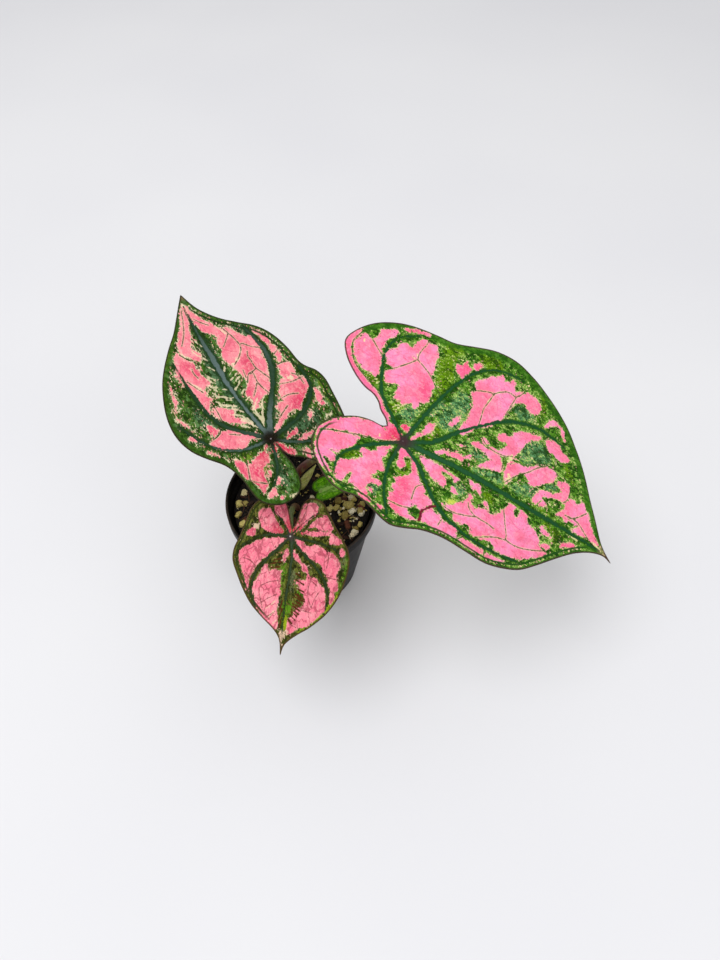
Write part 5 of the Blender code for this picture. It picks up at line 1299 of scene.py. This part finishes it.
def spearFinish():
    finish, tree, shader = newFinish("rolledLeafFinish")
    look = readLook(spear)
    place = objectPlace(tree)
    up, around = field(tree, "stemShare"), field(tree, "roundShare")
    skin = blend(tree, rise(tree, cloud(tree, place, 2.2, 3.0, 0.6), 0.35, 0.65), look.deep, look.pale)
    stripes = scaleAdd(tree, around, 60.0, times(tree, cloud(tree, place, 3.0), 3.0))
    stripes = rise(tree, calc(tree, "SINE", stripes), 0.3, 1.0)
    skin = paint(tree, skin, look.stripe, stripes, 0.45)
    skin = blend(tree, rise(tree, up, 0.30, 0.10), skin, look.foot)
    dress(tree, shader, skin, scaleAdd(tree, stripes, -0.08, 0.46))
    relief = useGroup(tree, skinRelief, {"Place": place, "Cell": 0.5, "Grain": 0.4})
    bump(tree, shader, calc(tree, "ADD", stripes, relief["Height"]), 0.00006, 0.5)
    return finish


makeSpear()
print("rolled leaf made")


# pot

pot = {
    "height": 58.0, "rimRadius": 32.0, "rimBand": 5.5, "baseRadius": 22.5, "wall": 1.0, "floor": 1.4,
    "drainHoles": 6, "drainRadius": 2.5, "drainCircle": 15.0, "steps": 144, "gloss": 0.10,
    # worn: brown wear at the foot; along the rim the same brown is a painted reflection
    "black": (7, 7, 8), "grey": (18, 17, 17), "worn": (74, 64, 56), "dust": (112, 92, 70),
    "gritty": (44, 32, 22),
}


def wallRadius(z):
    lean = (pot["rimRadius"] - 1.4 - pot["baseRadius"]) / (pot["height"] - pot["rimBand"])
    return pot["baseRadius"] + lean * z


def innerRadius(z):
    return wallRadius(z) - pot["wall"]


def rounded(corners, reach):
    # rounds every corner of a profile that is longer than its reach on both sides
    line = [corners[0]]
    for before, corner, after in zip(corners, corners[1:], corners[2:]):
        before, corner, after = np.array(before), np.array(corner), np.array(after)
        cut = min(reach, 0.4 * np.linalg.norm(before - corner), 0.4 * np.linalg.norm(after - corner))
        start = corner + cut * (before - corner) / np.linalg.norm(before - corner)
        end = corner + cut * (after - corner) / np.linalg.norm(after - corner)
        for t in (0.0, 0.33, 0.67, 1.0):
            line.append(tuple((1 - t) ** 2 * start + 2 * t * (1 - t) * corner + t * t * end))
    return line + [corners[-1]]


def makeDrainTree():
    tree, given, result = geometryTree("drainTree", [
        ("Holes", whole, 6), ("Hole Radius", number, 0.0025), ("Circle Radius", number, 0.015),
        ("Depth", number, 0.006), ("Finish", material, None),
    ])
    circle = shape(tree, "MeshCircle", {"Vertices": given["Holes"], "Radius": given["Circle Radius"]})
    cutter = shape(tree, "MeshCylinder", {"Vertices": 40, "Radius": given["Hole Radius"],
                                          "Depth": given["Depth"]})
    spread = shape(tree, "InstanceOnPoints", {"Points": circle, "Instance": cutter})
    cutters = shape(tree, "RealizeInstances", {"Geometry": spread})
    cut = shape(tree, "MeshBoolean", {"Mesh 1": given["Geometry"], "Mesh 2": cutters},
                operation="DIFFERENCE", solver="EXACT")
    return closeTree(tree, result, cut, given["Finish"])


def potFinish():
    # thin black moulded plastic: a fine sheen, a painted brown reflection along the rim, a scuffed foot,
    # dried water and dust towards the rim and the foot
    finish, tree, shader = newFinish("potFinish")
    look = readLook(pot)
    place = objectPlace(tree)
    height = axes(tree, place)[2]
    wide = cloud(tree, place, 9.0, 3.0, 0.6)
    fine = cloud(tree, place, 0.7, 3.0, 0.65)
    skin = blend(tree, rise(tree, wide, 0.35, 0.75), look.black, look.grey)
    long = put(tree, "ShaderNodeMapping", {"Vector": place, "Scale": (1.0, 1.0, 0.12)}).outputs[0]
    runs = rise(tree, cloud(tree, long, 2.2, 3.0, 0.6), 0.60, 0.74)
    skin = paint(tree, skin, look.dust, runs, 0.05)
    grit = times(tree, rise(tree, height, 47.0, 54.0), rise(tree, fine, 0.52, 0.68))
    skin = paint(tree, skin, look.gritty, grit, 0.40)
    # painted reflection: a brown band along the rim stands for light on the rim; at the foot the same brown
    # is wear
    paintedRimReflection = times(tree, rise(tree, height, 57.3, 57.9), rise(tree, wide, 0.30, 0.60))
    footWear = times(tree, rise(tree, height, 1.6, 0.4), rise(tree, fine, 0.40, 0.60))
    footWearAndRimReflection = calc(tree, "MAXIMUM", paintedRimReflection, footWear)
    skin = paint(tree, skin, look.worn, footWearAndRimReflection, 0.55)
    rough = scaleAdd(tree, wide, 0.22, 0.36)
    rough = scaleAdd(tree, calc(tree, "MAXIMUM", runs, grit), 0.22, rough)
    dress(tree, shader, skin, rough, look.gloss)
    bump(tree, shader, calc(tree, "ADD", times(tree, wide, 0.6), fine), 0.00005, 0.4)
    return finish


def makePot():
    top, band, rim = pot["height"], pot["height"] - pot["rimBand"], pot["rimRadius"]
    # from the middle of the floor up the inside, over the rim, down the outside and in under the foot
    corners = [(0.0, pot["floor"]), (innerRadius(pot["floor"]) - 0.8, pot["floor"]),
               (innerRadius(pot["floor"] + 0.8), pot["floor"] + 0.8), (innerRadius(band - 1.5), band - 1.5),
               (rim - 1.1, band + 0.6), (rim - 1.0, top - 0.05), (rim - 0.04, top), (rim - 0.15, band),
               (wallRadius(band) + 0.05, band - 0.02), (wallRadius(1.2), 1.2),
               (pot["baseRadius"] - 1.0, 0.0), (20.2, 0.0), (19.8, 0.35), (0.0, 0.35)]
    profile = rounded(corners, 0.45)
    bm = bmesh.new()
    verts = [bm.verts.new((x * mm, 0.0, z * mm)) for x, z in profile]
    edges = [bm.edges.new(pair) for pair in zip(verts, verts[1:])]
    bmesh.ops.spin(bm, geom=verts + edges, cent=(0, 0, 0), axis=(0, 0, 1), angle=2 * math.pi,
                   steps=pot["steps"], use_duplicate=False)
    bmesh.ops.remove_doubles(bm, verts=bm.verts, dist=0.000001)
    bmesh.ops.recalc_face_normals(bm, faces=bm.faces)
    mesh = bpy.data.meshes.new("pot_shell")
    bm.to_mesh(mesh)
    bm.free()
    shell = addObject("pot_shell", mesh)
    runTree(shell, makeDrainTree(), {"Holes": pot["drainHoles"], "Hole Radius": pot["drainRadius"] * mm,
                                     "Circle Radius": pot["drainCircle"] * mm, "Depth": 8 * mm,
                                     "Finish": potFinish()})
    shell.data.shade_smooth()
    shell.data.set_sharp_from_angle(angle=math.radians(32))
    mount(shell, "pot")


makePot()
print("pot made")


# soil

soil = {
    "top": 52.0, "swell": 0.9, "ripple": 0.5, "gap": 0.35, "ring": 0.55, "sides": 200, "lump": 0.55,
    "black": (7, 5, 4), "brown": (38, 24, 15), "speck": (92, 74, 50), "gloss": 0.3,
}
# grains and chips listed one by one: x, y, size
seenGrains = [
    (-24.3, 9.2, 2.0), (-26.6, 3.4, 1.8), (-27.2, -2.1, 1.5), (-25.0, -10.2, 1.6), (15.2, -0.9, 1.7),
    (14.0, -4.4, 1.4), (19.3, -3.6, 2.4), (17.2, -8.8, 2.0), (20.6, -7.2, 1.7), (24.0, -8.3, 1.9),
    (25.3, -4.3, 1.5), (22.0, -0.2, 1.7), (20.2, -17.7, 1.6), (22.8, -14.6, 1.3), (4.5, 1.4, 1.3),
    (-4.4, -3.6, 1.2),
]
seenChips = [
    (17.6, -13.6, 5.5), (14.6, -12.0, 4.5), (18.4, 0.8, 3.6), (-21.5, -6.5, 5.0), (15.5, -19.5, 5.0),
]
stems = [(-1.3, 12.4), (-4.5, 5.3), (-2.2, -2.2), (7.6, -0.1), (0.8, 8.8)]


def soilHeight(x, y):
    return (soil["top"] + soil["swell"] * np.sin(0.19 * x + 0.6) * np.cos(0.23 * y - 0.4)
            + soil["ripple"] * np.sin(0.47 * x - 0.31 * y))


def lumps(x, y):
    # crumb-sized unevenness from a few crossing waves
    return (np.sin(1.9 * x + 0.7 * y) * np.sin(1.3 * y - 0.9 * x + 1.0)
            + 0.6 * np.sin(3.7 * x - 2.1 * y + 0.4) * np.sin(3.1 * y + 1.7 * x)
            + 0.4 * np.sin(6.3 * x + 4.4 * y) * np.sin(5.2 * y - 4.9 * x + 2.0)) / 2


def stemGap(x, y):
    return min(math.hypot(x - a, y - b) for a, b in stems)


def makeSoil():
    low = pot["floor"] + soil["gap"]
    edge = innerRadius(soil["top"] - soil["swell"] - soil["ripple"]) - soil["gap"]
    rings = list(np.arange(soil["ring"], edge, soil["ring"])) + [edge]
    sides = soil["sides"]
    circle = [(math.cos(2 * math.pi * k / sides), math.sin(2 * math.pi * k / sides)) for k in range(sides)]
    verts = [(0.0, 0.0, soilHeight(0.0, 0.0))]
    for radius in rings:
        for c, s in circle:
            x, y = radius * c, radius * s
            calm = min(1.0, (edge - radius) / 1.5, max(0.0, stemGap(x, y) - 1.5))
            verts.append((x, y, soilHeight(x, y) + soil["lump"] * lumps(x, y) * calm))
    for radius, z in ((innerRadius(low + 1.2) - soil["gap"], low + 1.2),
                      (innerRadius(low) - soil["gap"] - 1.2, low)):
        verts += [(radius * c, radius * s, z) for c, s in circle]
    faces = []
    for k in range(sides):
        faces.append((0, 1 + k, 1 + (k + 1) % sides))
    for ring in range(len(rings) + 1):
        a, b = 1 + ring * sides, 1 + (ring + 1) * sides
        faces += [(a + k, b + k, b + (k + 1) % sides, a + (k + 1) % sides) for k in range(sides)]
    faces.append(tuple(range(len(verts) - sides, len(verts)))[::-1])
    obj = meshObject("soil_bed", [(x * mm, y * mm, z * mm) for x, y, z in verts], faces=faces)
    obj.data.shade_smooth()
    obj.data.materials.append(soilFinish())
    mount(obj, "soil")


def soilFinish():
    finish, tree, shader = newFinish("soilFinish")
    look = readLook(soil)
    place = objectPlace(tree)
    crumb = cloud(tree, place, 0.9, 5.0, 0.7)
    wide = cloud(tree, place, 6.0, 2.0, 0.5)
    skin = blend(tree, rise(tree, crumb, 0.45, 0.72), look.black, look.brown)
    specks = useGroup(tree, leafFlecks, {"Place": place, "Size": 0.7,
                                         "Share": times(tree, rise(tree, wide, 0.4, 0.7), 0.10)})
    skin = paint(tree, skin, look.speck, specks["Mask"], 0.6)
    dress(tree, shader, skin, scaleAdd(tree, crumb, 0.3, 0.62), look.gloss)
    bump(tree, shader, crumb, 0.0006, 0.9)
    return finish


def makeChunkTree():
    # a lumpy stone or chip at every point: size, stretch and turn differ from one to the next
    tree, given, result = geometryTree("chunkTree", [
        ("Stretch", vector, None), ("Lump", number, 0.25), ("Lump Scale", number, 900.0),
        ("Detail", whole, 3), ("Corners", number, 0.0), ("Seed", whole, 1), ("Finish", material, None),
    ])
    points = shape(tree, "MeshToPoints", {"Mesh": given["Geometry"]})
    size = shape(tree, "InputNamedAttribute", {"Name": "size"}, data_type="FLOAT")
    ball = shape(tree, "MeshIcoSphere", {"Radius": 1.0, "Subdivisions": given["Detail"]})
    where = shape(tree, "InputPosition")
    # a share of the way to a box makes a squared chip
    sizes = [calc(tree, "ABSOLUTE", part) for part in axes(tree, where)]
    biggest = calc(tree, "MAXIMUM", calc(tree, "MAXIMUM", sizes[0], sizes[1]), sizes[2])
    boxed = calc(tree, "SUBTRACT", calc(tree, "DIVIDE", 1.0, biggest), 1.0)
    boxShift = vectorMath(tree, "SCALE", where, scale=times(tree, boxed, given["Corners"]))
    ball = shape(tree, "SetPosition", {"Geometry": ball, "Offset": boxShift})
    turn = put(tree, "FunctionNodeRandomValue", {"Seed": given["Seed"]}, data_type="FLOAT_VECTOR")
    turn.inputs[0].default_value = (-0.35, -0.35, 0.0)
    turn.inputs[1].default_value = (0.35, 0.35, 6.283)
    vary = put(tree, "FunctionNodeRandomValue", {"Seed": calc(tree, "ADD", given["Seed"], 7.0)},
               data_type="FLOAT_VECTOR")
    vary.inputs[0].default_value = (0.85, 0.70, 0.70)
    vary.inputs[1].default_value = (1.15, 1.0, 1.0)
    stretched = vectorMath(tree, "MULTIPLY", vary.outputs[0], given["Stretch"])
    grown = vectorMath(tree, "SCALE", stretched, scale=size)
    placed = shape(tree, "InstanceOnPoints", {"Points": points, "Instance": ball,
                                              "Rotation": turn.outputs[0], "Scale": grown})
    tone = put(tree, "FunctionNodeRandomValue", {"Seed": calc(tree, "ADD", given["Seed"], 3.0)},
               data_type="FLOAT")
    toned = shape(tree, "StoreNamedAttribute", {"Geometry": placed, "Name": "tone", "Value": tone.outputs[1]},
                  data_type="FLOAT", domain="INSTANCE")
    real = shape(tree, "RealizeInstances", {"Geometry": toned})
    rough = put(tree, "ShaderNodeTexNoise", {"Vector": where, "Scale": given["Lump Scale"], "Detail": 2.0})
    offset = times(tree, centred(tree, rough.outputs["Fac"]), given["Lump"])
    outward = vectorMath(tree, "SCALE", shape(tree, "InputNormal"), scale=offset)
    worn = shape(tree, "SetPosition", {"Geometry": real, "Offset": outward})
    smooth = shape(tree, "SetShadeSmooth", {"Geometry": worn})
    return closeTree(tree, result, smooth, given["Finish"])


def chunkFinish(name, tones, roughness, grain):
    # tones: the colours from the darkest chunk to the lightest, then that of the pores
    finish, tree, shader = newFinish(name)
    dull, middle, light, pore = (seen(*tone) for tone in tones)
    place = objectPlace(tree)
    tone = field(tree, "tone")
    skin = blend(tree, rise(tree, tone, 0.0, 0.45), dull, middle)
    skin = blend(tree, rise(tree, tone, 0.45, 1.0), skin, light)
    pores = cloud(tree, place, grain, 4.0, 0.7)
    skin = paint(tree, skin, pore, rise(tree, pores, 0.52, 0.36), 0.55)
    dress(tree, shader, skin, scaleAdd(tree, pores, 0.2, roughness), soil["gloss"])
    bump(tree, shader, pores, 0.00025, 0.8)
    return finish


def spots(count, size, halfSize, keepOff, draw):
    reach = innerRadius(soil["top"]) - soil["gap"] - halfSize - 0.3
    found = []
    while len(found) < count:
        radius, angle = reach * math.sqrt(draw.random()), draw.uniform(0, 2 * math.pi)
        x, y = radius * math.cos(angle), radius * math.sin(angle)
        if stemGap(x, y) > keepOff:
            found.append((x, y, draw.uniform(*size)))
    return found


def makeChunks(name, places, finish):
    look = chunks[name]
    verts = [(x * mm, y * mm, (soilHeight(x, y) + look["lift"] * size) * mm) for x, y, size in places]
    obj = meshObject(name, verts)
    storeValues(obj.data, "size", np.array([size for _, _, size in places], np.float32) * mm)
    values = {"Stretch": look["stretch"], "Lump": look["lump"] * mm, "Lump Scale": look["lumpScale"],
              "Detail": look["detail"], "Corners": look["corners"], "Seed": look["seed"], "Finish": finish}
    runTree(obj, chunkTree, values)
    mount(obj, "soil")


chunks = {
    "pumice_grains": dict(lift=0.25, stretch=(1.0, 0.9, 0.8), lump=1.2, lumpScale=800.0, detail=4,
                          corners=0.35, seed=3),
    "bark_chips": dict(lift=0.10, stretch=(1.0, 0.55, 0.34), lump=0.9, lumpScale=600.0, detail=4,
                       corners=0.55, seed=9),
    "soil_crumbs": dict(lift=0.35, stretch=(1.0, 0.9, 0.8), lump=0.5, lumpScale=1500.0, detail=1,
                        corners=0.2, seed=15),
    "pale_grit": dict(lift=0.5, stretch=(1.0, 0.8, 0.6), lump=0.6, lumpScale=1500.0, detail=1,
                      corners=0.2, seed=21),
}
makeSoil()
chunkTree = makeChunkTree()
draw = random.Random(5)
pumice = [(126, 108, 44), (206, 190, 112), (250, 242, 214), (78, 58, 28)]
grainFinish = chunkFinish("grainFinish", pumice, 0.62, 0.5)
barkFinish = chunkFinish("barkFinish", [(36, 18, 12), (74, 36, 20), (112, 60, 36), (16, 8, 6)], 0.6, 0.7)
crumbFinish = chunkFinish("crumbFinish", [(14, 10, 8), (26, 18, 12), (48, 34, 22), (8, 6, 5)], 0.75, 0.4)
makeChunks("pumice_grains", seenGrains + spots(22, (1.2, 1.8), 1.9, 5.0, draw), grainFinish)
chips = [(x, y, 0.42 * size) for x, y, size in seenChips + spots(20, (3.6, 5.6), 3.2, 5.5, draw)]
makeChunks("bark_chips", chips, barkFinish)
makeChunks("soil_crumbs", spots(420, (0.30, 0.85), 1.0, 2.4, draw), crumbFinish)
grit = spots(90, (0.25, 0.7), 1.0, 2.6, draw)
for _ in range(90):
    x, y = draw.gauss(19.5, 3.6), draw.gauss(-5.0, 4.4)
    if math.hypot(x, y) < 27.5:
        grit.append((x, y, draw.uniform(0.35, 0.95)))
makeChunks("pale_grit", grit, grainFinish)
# loose fibres drawn one by one over the soil
fibres = [
    [(-27, 6), (-25.2, 3), (-24.6, 0), (-26, -3)], [(-26.5, -5), (-23, -3.8), (-20, -6)],
    [(23, -12), (19, -10.6), (15.6, -13)], [(12.6, -3), (15.6, 1), (20, 3)], [(16.6, -14.5), (18.6, -21.5)],
    [(13.2, -20.6), (17, -17)], [(-5, -20), (0, -22.6), (6, -22)], [(-12, 12), (-7, 15), (-2, 15)],
    [(8, 18), (13, 15.4), (19, 14)], [(-25, 11), (-22.6, 8), (-22.4, 4)],
    [(24.6, -1), (22.6, -6), (24.4, -10)],
]
fibreVerts, fibreEdges = [], []
for fibre in fibres:
    line = smoothLine(fibre, 6)
    start = len(fibreVerts)
    for k, (x, y) in enumerate(line):
        arch = 0.9 * math.sin(math.pi * k / (len(line) - 1))
        fibreVerts.append((x * mm, y * mm, (soilHeight(x, y) + 0.5 + arch) * mm))
    fibreEdges += [(start + k, start + k + 1) for k in range(len(line) - 1)]
fibreTones = [(84, 50, 30), (96, 60, 36), (110, 74, 44), (46, 26, 16)]
fibreFinish = chunkFinish("fibreFinish", fibreTones, 0.6, 1.2)
loose = runTree(meshObject("bark_fibres", fibreVerts, fibreEdges), stemTree,
                {"Base Radius": 0.00022, "Top Radius": 0.00012, "Sides": 6, "Groove": 0.0, "Grooves": 1.0,
                 "Finish": fibreFinish})
mount(loose, "soil")
print("soil made")


# the tuber stays the solid's own mesh, in a corky skin

tuberLook = {"bark": (70, 46, 32), "cork": (126, 92, 62), "ring": (48, 30, 22)}


def tuberFinish():
    finish, tree, shader = newFinish("tuberFinish")
    look = readLook(tuberLook)
    place = objectPlace(tree)
    rings = axes(tree, place)[2]
    rings = calc(tree, "SINE", scaleAdd(tree, cloud(tree, place, 5.0), 5.0, times(tree, rings, 2.6)))
    bark = cloud(tree, place, 1.2, 5.0, 0.7)
    skin = blend(tree, rise(tree, bark, 0.35, 0.65), look.bark, look.cork)
    skin = paint(tree, skin, look.ring, rise(tree, rings, 0.4, 1.0), 0.5)
    dress(tree, shader, skin, scaleAdd(tree, bark, 0.2, 0.7))
    bump(tree, shader, calc(tree, "ADD", bark, times(tree, rings, 0.4)), 0.0005, 0.8)
    return finish


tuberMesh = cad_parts["tuber"].data
tuberMesh.materials.clear()
tuberMesh.materials.append(tuberFinish())


# floor, light and camera

room = {
    "floorSize": 9.0, "floorColour": (226, 226, 228), "floorShade": (222, 222, 225), "lampSize": 0.9,
    "worldColour": (240, 240, 241), "worldStrength": 0.76, "lampTarget": (0.02, 0.0, 0.06),
    # where each lamp stands and how strong it is
    "windowLight": ((-0.35, -0.10, 1.15), 7.6), "frontFill": ((0.55, -0.80, 0.75), 2.6),
    "cameraAt": (0.0, -0.1678, 0.3067), "lookAt": (0.0254, 0.0032, 0.0601), "lens": 26.6,
}


def floorFinish():
    finish, tree, shader = newFinish("floorFinish")
    tint = rise(tree, cloud(tree, objectPlace(tree), 260.0, 2.0, 0.5), 0.3, 0.7)
    skin = blend(tree, tint, seen(*room["floorColour"]), seen(*room["floorShade"]))
    dress(tree, shader, skin, 0.9, 0.2)
    return finish


def aim(obj, target):
    obj.rotation_euler = (Vector(target) - obj.location).to_track_quat("-Z", "Y").to_euler()


def addSoftLight(name):
    lamp = bpy.data.lights.new(name, "AREA")
    lamp.shape = "DISK"
    lamp.size = room["lampSize"]
    obj = addObject(name, lamp)
    obj.location, lamp.energy = room[name]
    aim(obj, room["lampTarget"])


half = room["floorSize"] / 2
corners = [(-half, -half, 0), (half, -half, 0), (half, half, 0), (-half, half, 0)]
floor = meshObject("floor", corners, faces=[(0, 1, 2, 3)])
floor.data.materials.append(floorFinish())

world = bpy.data.worlds.new("paleRoom")
world.use_nodes = True
background = world.node_tree.nodes["Background"]
background.inputs["Color"].default_value = seen(*room["worldColour"])
background.inputs["Strength"].default_value = room["worldStrength"]
bpy.context.scene.world = world
addSoftLight("windowLight")
addSoftLight("frontFill")

camera = addObject("camera", bpy.data.cameras.new("camera"))
camera.location = room["cameraAt"]
aim(camera, room["lookAt"])
camera.data.lens = room["lens"]
camera.data.clip_start = 0.01
bpy.context.scene.camera = camera
bpy.context.scene.view_settings.view_transform = "Standard"
print("room made")
